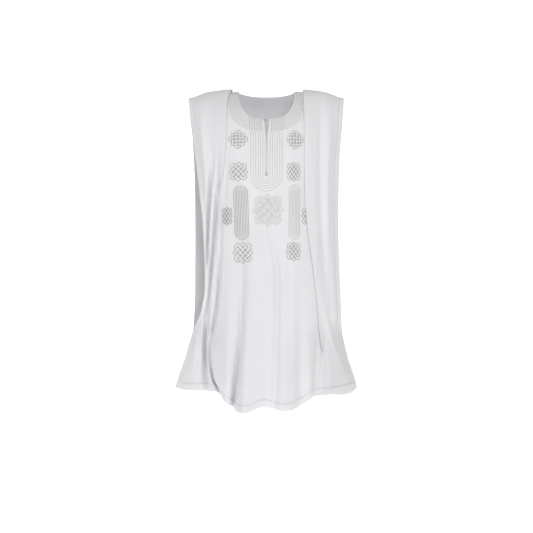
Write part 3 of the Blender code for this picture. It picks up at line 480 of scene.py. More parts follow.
class Panel:
    """A cloth panel as a surface over (x, drop); facing is -1 in front, 1 behind."""

    def __init__(self, facing, sections, lines, pleats, folds, creases, hem, neck, caps, step=None):
        self.facing = facing
        self.left_x, self.right_x, self.edge, self.centre, self.fullness = table_curves(sections)
        self.lines = [self.left_x] + table_curves(lines) + [self.right_x]
        self.left_pleat = Pleat(-1, pleats[0])
        self.right_pleat = Pleat(1, pleats[1])
        self.folds = [(*self.fold_curves(*row[1:]), FOLD_POWER) for row in folds]
        self.folds += [(*self.fold_curves(*row[1:]), CREASE_POWER) for row in creases]
        self.hem = smooth_curve([row[0] for row in hem], [row[1] for row in hem])
        self.cap_middle, self.cap_edge = caps
        self.neck_turn = math.acos(1.0 - neck[0] / self.cap_middle)
        self.neck_square, self.neck_rate = neck[1:]
        self.step = table_curves(step) if step else None

    @staticmethod
    def fold_curves(top, top_x, middle, middle_x, low, low_x, high_0, high_1, high_2, wide_0, wide_1):
        """The middle, height and width of a fold; one that reaches the hem runs out over it."""
        drops = [top, middle, low]
        end = 0.0 if low < HEM_LEVEL else high_2
        heights = smooth_curve(
            [top - FOLD_FADE, *drops, low + FOLD_FADE], [0.0, high_0, high_1, high_2, end]
        )
        widths = smooth_curve([top, low], [wide_0, wide_1])
        return smooth_curve(drops, [top_x, middle_x, low_x]), heights, widths

    def cloth_x(self, column, drop):
        """Where a column lies across the panel, before any pleat."""
        x = 0.0
        for k, line in enumerate(self.lines):
            x = x + np.clip(1.0 - np.abs(column - k), 0.0, 1.0) * line(drop)
        return x

    def cap(self, x):
        """The height over which the cloth turns from the shoulder line to hanging straight."""
        across = np.abs(x) / SHOULDER_TIP
        return self.cap_edge + (self.cap_middle - self.cap_edge) * (1.0 - np.clip(across, 0, 1) ** 2)

    def turn(self, x, drop):
        """The angle turned over the shoulder, from 0 on the ridge to a right angle."""
        return np.arccos(1.0 - np.clip((drop - ridge_drop(x)) / self.cap(x), 0.0, 1.0))

    def drop_of_turn(self, x, turn):
        """The drop at which a place across the shoulders has turned by an angle."""
        return ridge_drop(x) + self.cap(x) * (1.0 - np.cos(turn))

    def neck_spot(self, bearing, out):
        """Across and drop of places round the neck, at a distance out from the neckline."""
        across = np.abs(np.sin(bearing)) ** (2.0 / self.neck_square)
        square = self.neck_square + BAND_SQUARENESS * out
        x = np.sign(bearing) * (NECK_HALF_WIDTH + BAND_SIDEWAYS * out) * across
        turn = np.clip(1.0 - across ** square, 0.0, 1.0) ** (1.0 / square)
        return x, self.drop_of_turn(x, (self.neck_turn + out / self.neck_rate) * turn)

    def even_bearings(self, out, first, last, steps):
        """Bearings round the neck that part the cloth there into even steps."""
        fine = np.linspace(first, last, 601)
        points = self.at(*self.neck_spot(fine, out))
        lengths = lengths_along(points)
        return np.interp(np.linspace(0.0, lengths[-1], steps + 1), lengths, fine)

    def depth(self, x, drop):
        """How far the cloth stands out, without its pleats."""
        left = self.left_x(drop)
        right = self.right_x(drop)
        across = np.clip(np.abs(2.0 * (x - left) / (right - left) - 1.0), 0.0, 1.0)
        edge = self.edge(drop)
        out = edge + (self.centre(drop) - edge) * (1.0 - across ** self.fullness(drop))
        for middle, height, width, power in self.folds:
            bump = height(drop) * np.exp(-(((x - middle(drop)) / width(drop)) ** 2))
            out = out + bump * (1.0 - across ** power)
        if self.step:
            before = self.step[0](drop) - x
            sharp = smooth_step(before / WING_STEP_WIDTH + 0.5)
            slope = smooth_step((before + WING_SLOPE_START) / WING_SLOPE_WIDTH + 0.5)
            back = WING_STEP_SHARE * sharp + (1.0 - WING_STEP_SHARE) * slope
            out = out - self.step[1](drop) * back * (1.0 - across ** WING_POWER)
        return out

    def at(self, x, drop):
        """The outer face of the cloth where it would lie at x without its pleats."""
        lift = 0.0
        moved = x
        for pleat, k in ((self.left_pleat, LEFT_PLEAT_LINE), (self.right_pleat, RIGHT_PLEAT_LINE)):
            first = self.lines[k](drop)
            second = self.lines[k + 1](drop)
            sideways, rise = pleat.shift(x, drop, 0.5 * (first + second), 0.5 * (second - first))
            moved = moved + sideways
            lift = lift + rise
        below = 1.0 - smooth_step((drop - ridge_drop(x)) / RIDGE_FADE)
        drop = drop + (ridge_drop(moved) - ridge_drop(x)) * below
        turn = self.turn(moved, drop)
        y = self.facing * (self.depth(moved, drop) + lift) * np.sin(turn)
        z = lift * np.cos(turn) - drop
        return np.stack(np.broadcast_arrays(moved, y, z), axis=-1)

    def frame_at(self, x, drop):
        """Points of the cloth, how they move with x and with drop, and the way out there."""
        here = self.at(x, drop)
        across = (self.at(x + STEP, drop) - here) / STEP
        down = (self.at(x, drop + STEP) - here) / STEP
        out = np.cross(across, down) * self.facing
        return here, across, down, out / np.linalg.norm(out, axis=-1, keepdims=True)

    def grid(self, columns, ways, notch):
        """Across and drop of a grid: way 0 at the top edge, 1 below the shoulder, 2 at the hem.

        The neck takes out the first rows, up to the notch row, between the neck lines.
        """
        side = 0.5 * math.pi
        upper = np.minimum(ways, 1.0)
        part = np.clip((ways - ways[notch]) / (1.0 - ways[notch]), 0.0, 1.0)
        inside = [c for c in columns if NECK_LINES[0] <= c <= NECK_LINES[1]]
        front = self.even_bearings(0.0, -NECK_CORNER, NECK_CORNER, len(inside) - 1)
        bearings = dict(zip(inside, front))
        flank = self.even_bearings(0.0, -side, -NECK_CORNER, notch)
        xs = np.zeros((len(columns), len(ways)))
        drops = np.zeros_like(xs)
        for i, column in enumerate(columns):
            hem = self.hem(self.cloth_x(column, HEM_LEVEL))
            x = self.cloth_x(column, 0.0)
            for _ in range(5):
                below = self.drop_of_turn(x, side)
                x = self.cloth_x(column, below)
            x = x + 0.0 * ways
            if column in bearings:
                start_x, start_drop = self.neck_spot(bearings[column], 0.0)
                start_turn = self.turn(start_x, start_drop)
                turn = start_turn + (side - start_turn) * part
                drop = self.drop_of_turn(start_x, turn)
                x = start_x + (self.cloth_x(column, drop) - start_x) * smooth_step(part)
                drop = self.drop_of_turn(x, turn)
            else:
                for _ in range(5):
                    drop = self.drop_of_turn(x, side * upper)
                    x = self.cloth_x(column, drop)
                drop = self.drop_of_turn(x, side * upper)
            low = ways >= 1.0
            drop = np.where(low, below + (hem - below) * (ways - 1.0), drop)
            x = np.where(low, self.cloth_x(column, drop), x)
            if column in NECK_LINES:
                round_neck = np.sign(column - MIDDLE_LINE) * -flank
                x[: notch + 1], drop[: notch + 1] = self.neck_spot(round_neck, 0.0)
            xs[i] = x
            drops[i] = drop
        return xs, drops


FRONT = Panel(
    -1, FRONT_SECTIONS, FRONT_LINES, (FRONT_LEFT_PLEAT, FRONT_RIGHT_PLEAT),
    FRONT_FOLDS, FRONT_CREASES, FRONT_HEM, FRONT_NECK, FRONT_CAPS, WING_STEP,
)
BACK = Panel(
    1, BACK_SECTIONS, BACK_LINES, (BACK_LEFT_PLEAT, BACK_RIGHT_PLEAT),
    BACK_FOLDS, BACK_CREASES, BACK_HEM, BACK_NECK, BACK_CAPS,
)


def add_piece(name, points, faces, material, uv, slots=None):
    """A smooth mesh piece that rides on the robe's one body."""
    mesh = bpy.data.meshes.new(name)
    mesh.from_pydata(np.asarray(points).tolist(), [], faces)
    for entry in material if isinstance(material, tuple) else (material,):
        mesh.materials.append(entry)
    if slots is not None:
        mesh.polygons.foreach_set("material_index", slots)
    layer = mesh.uv_layers.new(name="cloth")
    corners = np.zeros(len(mesh.loops), dtype=np.int32)
    mesh.loops.foreach_get("vertex_index", corners)
    layer.data.foreach_set("uv", np.asarray(uv)[corners].ravel())
    mesh.validate()
    mesh.update()
    mesh.shade_smooth()
    piece = bpy.data.objects.new(name, mesh)
    bpy.context.scene.collection.objects.link(piece)
    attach(piece, "root")
    return piece


def close_shell(cells, count):
    """Faces of a wall from the cells of its outer sheet; the inner sheet is count further on."""
    faces = [tuple(cell) for cell in cells]
    faces += [tuple(k + count for k in reversed(cell)) for cell in cells]
    edges = {(cell[k - 1], cell[k]) for cell in cells for k in range(len(cell))}
    for first, second in sorted(edges):
        if (second, first) not in edges:
            faces.append((second, first, first + count, second + count))
    return faces


def spans(parts):
    """Column places from line to line of a panel, with even steps inside each span."""
    columns = [0.0]
    for k, steps in enumerate(parts):
        columns += [k + (i + 1) / steps for i in range(steps)]
    return columns


def hem_lift(from_edge, along, width):
    """The turned hem stands a little proud, with a stitched groove at its inner edge."""
    inside = 1.0 - smooth_step((from_edge - width) / HEM_END)
    groove = np.exp(-(((from_edge - width + GROOVE_INSIDE) / GROOVE_WIDTH) ** 2))
    short, long = PUCKER_LENGTHS
    pucker = 0.6 + 0.4 * np.sin(along / short) * np.sin(along / long + 1.0)
    return HEM_STEP * inside - GROOVE_DEPTH * groove * pucker


def make_cloth(name, panel, mesh_steps, material):
    """A panel of cloth as a thin wall, with turned hems."""
    parts, upper, lower, notch = mesh_steps
    columns = spans(parts)
    lower_ways = np.linspace(0.0, LAST_EVEN_WAY, lower, endpoint=False)
    ways = np.concatenate([np.arange(upper) / upper, 1.0 + lower_ways, 2.0 - np.array(HEM_WAYS)])
    xs, drops = panel.grid(columns, ways, notch)
    points, _, _, out = panel.frame_at(xs, drops)
    bottom = drops[:, -1:] - drops
    from_side = np.minimum(xs - panel.left_x(drops), panel.right_x(drops) - xs)
    above_seam = drops < SIDE_SEAM_DROP
    lift = hem_lift(bottom, xs, BOTTOM_HEM) + hem_lift(from_side, drops, SIDE_HEM) * above_seam
    outer = points + out * lift[..., None]
    inner = points - out * CLOTH_WALL
    # the edges along the shoulder line and the side seams stop short of the other panel
    seam = 0.5 * SEAM_GAP
    ridge = np.abs(points[..., 1]) < seam
    inner[ridge] = (points - np.array([0.0, 0.0, 1.0]) * CLOTH_WALL)[ridge]
    outer[..., 1] = np.where(ridge, panel.facing * seam, outer[..., 1])
    inner[..., 1] = np.where(ridge, panel.facing * seam, inner[..., 1])
    side = np.zeros_like(ridge)
    side[[0, -1]] = drops[[0, -1]] > SIDE_SEAM_DROP - CLOTH_WALL
    outer[..., 1] = np.where(side, panel.facing * (CLOTH_WALL + seam), outer[..., 1])
    inner[..., 1] = np.where(side, panel.facing * seam, inner[..., 1])
    inner[..., 0] = np.where(side, points[..., 0], inner[..., 0])
    return weave_wall(name, panel, columns, (xs, drops), outer, inner, notch, material)


def weave_wall(name, panel, columns, places, outer, inner, notch, material):
    """The mesh of a panel; the front one is parted down the middle at its slit."""
    xs, drops = places
    middle = columns.index(MIDDLE_LINE)
    in_neck = [NECK_LINES[0] < column < NECK_LINES[1] for column in columns]
    number = {}
    tops = []
    lows = []
    uv = []
    for i in range(len(columns)):
        for j in range(notch if in_neck[i] else 0, xs.shape[1]):
            slit = panel.facing < 0 and i == middle and drops[i, j] < SLIT_DROP
            half = slit_half_width(drops[i, j]) if slit else 0.0
            for way in (-1, 1) if slit else (0,):
                number[i, j, way] = len(tops)
                shift = np.array([way * half, 0.0, 0.0])
                tops.append(outer[i, j] + shift)
                lows.append(inner[i, j] + shift)
                uv.append((xs[i, j], -drops[i, j]))
            if not slit:
                number[i, j, -1] = number[i, j, 1] = number[i, j, 0]
    cells = []
    for i in range(len(columns) - 1):
        for j in range(notch if in_neck[i] or in_neck[i + 1] else 0, xs.shape[1] - 1):
            near = (number[i, j, 1], number[i, j + 1, 1])
            far = (number[i + 1, j + 1, -1], number[i + 1, j, -1])
            cells.append(near + far if panel.facing < 0 else (near + far)[::-1])
    return add_piece(name, tops + lows, close_shell(cells, len(tops)), material, uv + uv)


def slit_half_width(drop):
    """Half the opening of the front slit."""
    open_part = 1.0 - (drop - NECK_DROP_FRONT) / SLIT_TAPER
    return 0.5 * max(SLIT_WIDTH * open_part, CLOSED_SLIT)


def along_path(places, step):
    """The same path with even steps of about that length."""
    places = np.asarray(places, dtype=float)
    lengths = lengths_along(places)
    count = max(2, round(lengths[-1] / step))
    even = np.linspace(0.0, lengths[-1], count + 1)
    return path_of(*(np.interp(even, lengths, places[:, k]) for k in (0, 1)))


class Threadwork:
    """Stitched cords and ribbons gathered into one mesh."""

    def __init__(self, panel):
        self.panel = panel
        self.points = []
        self.faces = []
        self.uv = []
        self.slots = []

    def lay(self, path, profile, lift=0.0, closed=False, slots=None):
        """A ribbon along a path of (x, drop); the profile is (offset, height) from side to side.

        The slots give the profile's sides their material: 0 for the cord, 1 for the dark thread, grey partly
        as the silver thread's own colour and partly as painted shade between the cords.
        """
        path = np.asarray(path, dtype=float)
        middle, across, down, out = self.panel.frame_at(path[:, 0], path[:, 1])
        if closed:
            along = np.roll(middle, -1, axis=0) - np.roll(middle, 1, axis=0)
        else:
            along = np.gradient(middle, axis=0)
        side = np.cross(out, along)
        side /= np.linalg.norm(side, axis=1, keepdims=True)
        side *= self.corner_reach(middle, closed)
        # how x and drop change for a metre sideways, from the cloth's own slopes
        a = (across * across).sum(1)
        b = (across * down).sum(1)
        c = (down * down).sum(1)
        e = (side * across).sum(1)
        f = (side * down).sum(1)
        rate = a * c - b * b
        move_x = (e * c - f * b) / rate
        move_drop = (a * f - b * e) / rate
        rings = []
        for offset, height in profile:
            x = path[:, 0] + move_x * offset
            drop = path[:, 1] + move_drop * offset
            rings.append(self.panel.at(x, drop) + out * np.reshape(height + lift, (-1, 1)))
        rings = np.stack(rings, axis=1)
        count, width = rings.shape[:2]
        first = len(self.points)
        self.points.extend(rings.reshape(-1, 3))
        for length in lengths_along(middle):
            self.uv.extend((length, offset) for offset, _ in profile)
        for i in range(count if closed else count - 1):
            near = first + i * width
            far = first + (i + 1) % count * width
            for j in range(width):
                k = (j + 1) % width
                self.faces.append((near + j, near + k, far + k, far + j))
                self.slots.append(slots[j] if slots and j < len(slots) else 0)
        if not closed:
            self.faces.append(tuple(first + j for j in range(width))[::-1])
            self.faces.append(tuple(first + (count - 1) * width + j for j in range(width)))
            self.slots += [0, 0]

    @staticmethod
    def corner_reach(points, closed):
        """How much wider a ribbon is across a sharp corner of its path than along a straight."""
        ahead = np.roll(points, -1, axis=0) - points
        ahead /= np.maximum(np.linalg.norm(ahead, axis=1, keepdims=True), 1e-9)
        bend = (ahead * np.roll(ahead, 1, axis=0)).sum(1)
        if not closed:
            bend[[0, -1]] = 1.0
        return np.sqrt(2.0 / (1.0 + np.clip(bend, 0.0, 1.0)))[:, None]

    def finish(self, name, nodes, materials):
        """Makes the piece, which stands for the embroidered nodes."""
        piece = add_piece(name, self.points, self.faces, materials, self.uv, self.slots)
        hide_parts(*nodes)
        return piece


def cord_profile(width, height):
    """A domed cord, flat on the cloth."""
    return [(0.5 * width * math.cos(a), height * math.sin(a)) for a in np.linspace(math.pi, 0.0, 6)]


# Cords of the embroidery: profile, lift, whether closed, and slots
ALL_DARK = [1] * 6
PALE_CORD_WIDTH = 0.0044
PALE_CORD = (cord_profile(PALE_CORD_WIDTH, 0.0008),)
# the dark thread between the pale cords is grey partly for the silver thread and partly as painted shade in
# the grooves between the cords
DARK_THREAD_AND_GROOVE_SHADE = (cord_profile(0.0013, 0.0007), 0.0, False, ALL_DARK)
UPRIGHT_THREAD = (cord_profile(0.0012, 0.0010), 0.0006, False, ALL_DARK)
BAR_TACK = (cord_profile(0.0032, 0.0013), 0.0, False, ALL_DARK)
SLIT_CORD = cord_profile(0.0022, 0.0009)
# where cords start below the neckline, the slit's cords lie and end, and the bar tack lies and reaches
CORD_START = 0.002
SLIT_CORD_ASIDE = 0.0016
SLIT_CORD_END = 0.012
BAR_TACK_ASIDE = 0.0030
BAR_TACK_REACH = (0.014, 0.002)
RIM_CORD = cord_profile(0.0016, 0.0007)
RIM_GAP = 0.0028
OVAL_CORD_WIDTH = 0.0040
OVAL_CORD = (cord_profile(OVAL_CORD_WIDTH, 0.0013), 0.0, True)
# the dark thread between the oval's cords is grey partly for the silver thread and partly as painted shade in
# the grooves between the cords
OVAL_THREAD_AND_GROOVE_SHADE = (cord_profile(0.0020, 0.0012), 0.0, True, ALL_DARK)
# how much each inner loop is shorter than it is narrower, and the part of the height with a middle cord
OVAL_NESTING = 0.92
OVAL_CORE = 0.72
HEM_STITCH = ([(-0.0006, -0.0002), (0.0, 0.0005), (0.0006, -0.0002)], 0.0004)
# even steps along the cords
ARC_STEPS = 90
BACK_ARC_STEPS = 110
CORD_STEP = 0.004
OVAL_STEP = 0.003
LATTICE_STEP = 0.125
# a knot's strand, the reach of its square, of its loops and of its crossings, in lattice steps
STRAND = 0.86
BROAD_STRAND = 0.76
SQUARE_REACH = 1.5
LOOP_REACH = 2.45
CROSSING_REACH = 0.62
# a knot wider than this has broad strands, and a satin band wider than this has a dark parting
BROAD_KNOT = 0.1
BROAD_SATIN = 0.005
RIBBON_EDGE = 0.0013
RIBBON_LIFT = 0.0005
CROSSING_LIFT = 0.0009


def neck_arcs(work, first, last, steps):
    """Rows of pale cord round the neck with a dark thread between them, partly the silver thread's grey and
    partly painted shade of the grooves between the cords.
    """
    rows = round(BAND_WIDTH / ARC_PITCH)
    inner = 0.5 * PALE_CORD_WIDTH
    for k in range(2 * rows + 1):
        out = inner + (BAND_WIDTH - inner) * 0.5 * k / rows
        bearings = work.panel.even_bearings(out, first, last, steps)
        path = path_of(*work.panel.neck_spot(bearings, out))
        work.lay(path, *(DARK_THREAD_AND_GROOVE_SHADE if k % 2 else PALE_CORD))


def band_outer_drop(x):
    """The drop of the neck band's outer edge in front, at a distance from the middle."""
    power = FRONT.neck_square + BAND_SQUARENESS * BAND_WIDTH
    across = (np.abs(x) / (NECK_HALF_WIDTH + BAND_SIDEWAYS * BAND_WIDTH)) ** power
    turn = (FRONT.neck_turn + BAND_WIDTH / FRONT.neck_rate) * (1.0 - across) ** (1.0 / power)
    return FRONT.drop_of_turn(x, turn)


def neckline_drop(x):
    """The drop of the front neckline at a distance from the middle."""
    across = (np.abs(x) / NECK_HALF_WIDTH) ** FRONT.neck_square
    return FRONT.drop_of_turn(x, FRONT.neck_turn * (1.0 - across) ** (1.0 / FRONT.neck_square))


def make_neck_bands(materials):
    """The band of cords round the neck, squared by upright cords over the plastron."""
    slit_bearing = math.asin((0.5 * SLIT_WIDTH / NECK_HALF_WIDTH + BAND_STOP) ** (0.5 * FRONT.neck_square))
    side = 0.5 * math.pi
    pieces = []
    for name, sign in (("neck_band_left", -1.0), ("neck_band_right", 1.0)):
        work = Threadwork(FRONT)
        neck_arcs(work, *sorted((sign * slit_bearing, sign * side)), ARC_STEPS)
        uprights = round(PLASTRON_HALF_WIDTH / UPRIGHT_PITCH)
        for k in range(2, uprights + 1):
            x = sign * PLASTRON_HALF_WIDTH * k / uprights
            drops = np.linspace(neckline_drop(x) + CORD_START, band_outer_drop(x), 14)
            work.lay(path_of(x, drops), *UPRIGHT_THREAD)
        pieces.append(work.finish(name + "_embroidery", [name], materials))
    work = Threadwork(BACK)
    neck_arcs(work, -side, side, BACK_ARC_STEPS)
    pieces.append(work.finish("neck_band_back_embroidery", ["neck_band_back"], materials))
    return pieces


def plastron_path(out):
    """Down one side of the plastron, round the end of the slit and up the other side."""
    top = float(band_outer_drop(out))
    bend = np.linspace(0.0, math.pi, 41)
    turn = [(-out * math.cos(a), PLASTRON_TURN_DROP + out * math.sin(a)) for a in bend]
    return along_path([(-out, top), *turn, (out, top)], CORD_STEP)


def make_plastron(materials):
    """Nested U-shaped cords from the neck band down round the end of the slit."""
    work = Threadwork(FRONT)
    cords = round(PLASTRON_HALF_WIDTH / UPRIGHT_PITCH) - 1
    for k in range(1, 2 * cords + 3):
        path = plastron_path(PLASTRON_HALF_WIDTH * 0.5 * k / (cords + 1))
        work.lay(path, *(DARK_THREAD_AND_GROOVE_SHADE if k % 2 else PALE_CORD))
    work.lay(plastron_path(PLASTRON_HALF_WIDTH + RIM_GAP), RIM_CORD)
    return work.finish("plastron_embroidery", ["plastron"], materials)


def racetrack(half_width, half_length, steps):
    """A closed path with straight sides and round ends, upright about its middle."""
    straight = half_length - half_width
    bend = np.linspace(0.0, math.pi, steps)
    top = [(-half_width * math.cos(a), -straight - half_width * math.sin(a)) for a in bend]
    low = [(half_width * math.cos(a), straight + half_width * math.sin(a)) for a in bend]
    return np.array(top + low + top[:1])


def make_ovals(left_oval_shaded_threads, lighter):
    """Tall patches of nested loops of cord and dark thread; the left one has greyer threads, a painted shade
    of the folds on its side.
    """
    pieces = []
    for (name, top_x, bottom_x, top, bottom, half, loops), materials in zip(OVALS, (left_oval_shaded_threads, lighter)):
        work = Threadwork(FRONT)
        half_length = 0.5 * (bottom - top)
        middle_x = 0.5 * (top_x + bottom_x)
        middle_drop = 0.5 * (top + bottom)
        lean = (bottom_x - top_x) / (2.0 * half_length)
        for k in range(loops):
            width = (half - 0.5 * OVAL_CORD_WIDTH) * (k + 1.0) / loops
            length = half_length - 0.5 * OVAL_CORD_WIDTH - (half - width) * OVAL_NESTING
            track = along_path(racetrack(width, length, 15), OVAL_STEP)[:-1]
            path = path_of(middle_x + lean * track[:, 1] + track[:, 0], middle_drop + track[:, 1])
            work.lay(path, *(OVAL_CORD if k % 2 else OVAL_THREAD_AND_GROOVE_SHADE))
        core = half_length * np.linspace(-OVAL_CORE, OVAL_CORE, 40)
        work.lay(path_of(middle_x + lean * core, middle_drop + core), OVAL_CORD[0])
        pieces.append(work.finish(name + "_embroidery", [name], materials))
    return pieces


def knot_strands():
    """The closed strands of an interlaced knot, in lattice steps: a square and two crossing loops."""
    square = [(a * SQUARE_REACH, b * SQUARE_REACH) for a, b in ((-1, -1), (1, -1), (1, 1), (-1, 1), (-1, -1))]
    loop = racetrack(0.5, LOOP_REACH, 13)
    return [along_path(strand, LATTICE_STEP)[:-1] for strand in (square, loop, loop[:, ::-1])]


def weave_height(spots):
    """1 where a strand passes over, -1 where it passes under, 0 between crossings."""
    step = np.roll(spots, -1, axis=0) - np.roll(spots, 1, axis=0)
    across = np.abs(step[:, 0]) > np.abs(step[:, 1])
    height = np.zeros(len(spots))
    corners = {(0, 0), (0, 3), (3, 0), (3, 3)}
    for i, j in sorted({(i, j) for i in range(4) for j in range(4)} - corners):
        near = np.hypot(spots[:, 0] - (i - SQUARE_REACH), spots[:, 1] - (j - SQUARE_REACH))
        over = np.where(across, 1.0, -1.0) * (1.0 if (i + j) % 2 else -1.0)
        height += over * (1.0 - smooth_step(near / CROSSING_REACH))
    return height


def make_knot(name, middle_x, middle_drop, width, height, turned, materials):
    """An interlaced knot of outlined satin ribbons; what the right pleat hides is left out."""
    work = Threadwork(FRONT)
    strand = BROAD_STRAND if width > BROAD_KNOT else STRAND
    reach = (SQUARE_REACH + 0.5 * strand) * math.sqrt(2.0) if turned else LOOP_REACH + 0.5 * strand
    size = np.array([0.5 * width / reach, 0.5 * height / reach])
    spacing = math.sqrt(2.0) * size.prod() / np.hypot(*size) if turned else size.min()
    profile, slots = ribbon_profile(strand * float(spacing))
    pleat_x = float(FRONT.lines[RIGHT_PLEAT_LINE](middle_drop))
    eighth_turn = np.array([[1.0, 1.0], [-1.0, 1.0]]) / math.sqrt(2.0)
    for spots in knot_strands():
        lift = RIBBON_LIFT + CROSSING_LIFT * weave_height(spots)
        places = (spots @ eighth_turn if turned else spots) * size + np.array([middle_x, middle_drop])
        keep = places[:, 0] < pleat_x
        if keep.all():
            work.lay(places, profile, lift, True, slots)
            continue
        start = int(np.argmax(~keep))
        places = np.roll(places, -start, axis=0)
        lift = np.roll(lift, -start)
        keep = np.roll(keep, -start)
        cuts = np.flatnonzero(np.diff(keep.astype(int))) + 1
        for run in np.split(np.arange(len(keep)), cuts):
            if keep[run[0]] and len(run) > 2:
                work.lay(places[run], profile, lift[run], False, slots)
    return work.finish(name + "_embroidery", [name], materials)


def ribbon_profile(width):
    """Side to side: a dark edge cord, a satin band with a parting, and a dark edge cord.

    A broad ribbon has a dark thread in its parting too.
    """
    half = 0.5 * width
    satin = half - RIBBON_EDGE
    offsets = [half, half - 0.0003, satin + 0.0002, satin, 0.6 * satin, 0.12 * satin, 0.0]
    heights = [-0.0012, 0.0010, 0.0010, 0.0005, 0.0009, 0.0008, 0.0004]
    side = list(zip(offsets, heights))
    profile = [(-a, b) for a, b in side] + side[-2::-1]
    thread = 1 if satin > BROAD_SATIN else 0
    slots = [1, 1, 1, 0, 0, thread, thread, 0, 0, 1, 1, 1]
    return profile, slots


def make_slit_edges(materials):
    """A cord down each side of the slit and the bar tack across its end."""
    work = Threadwork(FRONT)
    drops = np.linspace(NECK_DROP_FRONT + CORD_START, SLIT_DROP - SLIT_CORD_END, 60)
    beside = np.array([slit_half_width(drop) + SLIT_CORD_ASIDE for drop in drops])
    bar = np.linspace(SLIT_DROP - BAR_TACK_REACH[0], SLIT_DROP - BAR_TACK_REACH[1], 6)
    for sign in (-1.0, 1.0):
        work.lay(path_of(sign * beside, drops), SLIT_CORD)
        work.lay(path_of(sign * BAR_TACK_ASIDE, bar), *BAR_TACK)
    piece = add_piece("slit_stitching", work.points, work.faces, materials, work.uv, work.slots)
    return piece


def make_hem_stitches(name, panel, material):
    """Rows of small stitches along the turned hems at the bottom and up both sides, their white thread
    coloured grey as painted shade of the stitched groove.
    """
    work = Threadwork(panel)
    high, low = SIDE_STITCHES
    left, right = panel.left_x(low), panel.right_x(low)
    bottom_x = left + (right - left) * np.linspace(0.02, 0.98, 400)
    drops = np.linspace(high, low, 400)
    rows = [
        path_of(bottom_x, panel.hem(bottom_x) - BOTTOM_HEM + STITCH_INSIDE),
        path_of(panel.left_x(drops) + SIDE_HEM, drops),
        path_of(panel.right_x(drops) - SIDE_HEM, drops),
    ]
    for row in rows:
        lengths = lengths_along(row)
        for start in np.arange(0.0, lengths[-1] - STITCH_LENGTH, STITCH_STEP):
            run = start + np.linspace(0.0, STITCH_LENGTH, 3)
            path = path_of(*(np.interp(run, lengths, row[:, k]) for k in (0, 1)))
            work.lay(path, *HEM_STITCH)
    piece = add_piece(name, work.points, work.faces, material, work.uv)
    return piece


def linear(colour):
    """An sRGB hex colour as linear red, green, blue and alpha."""
    parts = [int(colour[k : k + 2], 16) / 255.0 for k in (1, 3, 5)]
    return [c / 12.92 if c < 0.04045 else ((c + 0.055) / 1.055) ** 2.4 for c in parts] + [1.0]


def new_material(name, finish):
    """A material with its shader, whose sockets get the values of the finish."""
    material = bpy.data.materials.new(name)
    material.use_nodes = True
    shader = material.node_tree.nodes["Principled BSDF"]
    for key, value in finish.items():
        shader.inputs[key].default_value = value
    return material, shader


def add_node(material, kind, settings, links):
    """Adds a node; settings are its own, links give its sockets a value or another node's output."""
    node = material.node_tree.nodes.new(kind)
    for key, value in settings.items():
        setattr(node, key, value)
    for key, value in links.items():
        if isinstance(value, bpy.types.NodeSocket):
            material.node_tree.links.new(value, node.inputs[key])
        else:
            node.inputs[key].default_value = value
    return node


def make_white_cotton():
    """White mercerised cotton damask, calendered: a pale matt cloth with a faint gloss."""
    finish = {
        "Roughness": 0.62, "IOR": 1.45, "Specular IOR Level": 0.2,
        "Sheen Weight": 0.15, "Sheen Roughness": 0.45,
        "Subsurface Weight": 0.15, "Subsurface Radius": (0.004, 0.004, 0.004), "Subsurface Scale": 1.0,
    }
    material, shader = new_material("white_mercerised_cotton", finish)
    cloth = add_node(material, "ShaderNodeTexCoord", {}, {}).outputs["UV"]
    warp, weft = [
        add_node(
            material, "ShaderNodeTexWave", {"bands_direction": way},
            {"Vector": cloth, "Scale": WAVE_LENGTH / THREAD_PITCH, "Distortion": 0.6, "Detail": 1.0},
        ).outputs["Fac"]
        for way in ("X", "Y")
    ]
    weave = add_node(material, "ShaderNodeMath", {"operation": "ADD"}, {0: warp, 1: weft})
    place = add_node(material, "ShaderNodeTexCoord", {}, {}).outputs["Object"]
    long_way = add_node(material, "ShaderNodeMapping", {}, {"Vector": place, "Scale": WRINKLE_SHAPE})
    wrinkles = add_node(
        material, "ShaderNodeTexNoise", {},
        {
            "Vector": long_way.outputs["Vector"], "Scale": 1.0 / WRINKLE_WIDTH,
            "Detail": 2.0, "Roughness": 0.45,
        },
    )
    soft = add_node(
        material, "ShaderNodeBump", {},
        {"Strength": 0.35, "Distance": 0.006, "Height": wrinkles.outputs["Fac"]},
    )
    fine = add_node(
        material, "ShaderNodeBump", {},
        {
            "Strength": 0.10, "Distance": 0.0003,
            "Height": weave.outputs["Value"], "Normal": soft.outputs["Normal"],
        },
    )
    cloud = add_node(
        material, "ShaderNodeTexNoise", {}, {"Vector": place, "Scale": 1.0 / CLOUD_SIZE, "Detail": 3.0}
    )
    tone = add_node(material, "ShaderNodeValToRGB", {}, {"Fac": cloud.outputs["Fac"]})
    tone.color_ramp.elements[0].color = linear(CLOTH_SHADE)
    tone.color_ramp.elements[1].color = linear(CLOTH_WHITE)
    material.node_tree.links.new(tone.outputs["Color"], shader.inputs["Base Color"])
    material.node_tree.links.new(fine.outputs["Normal"], shader.inputs["Normal"])
    return material


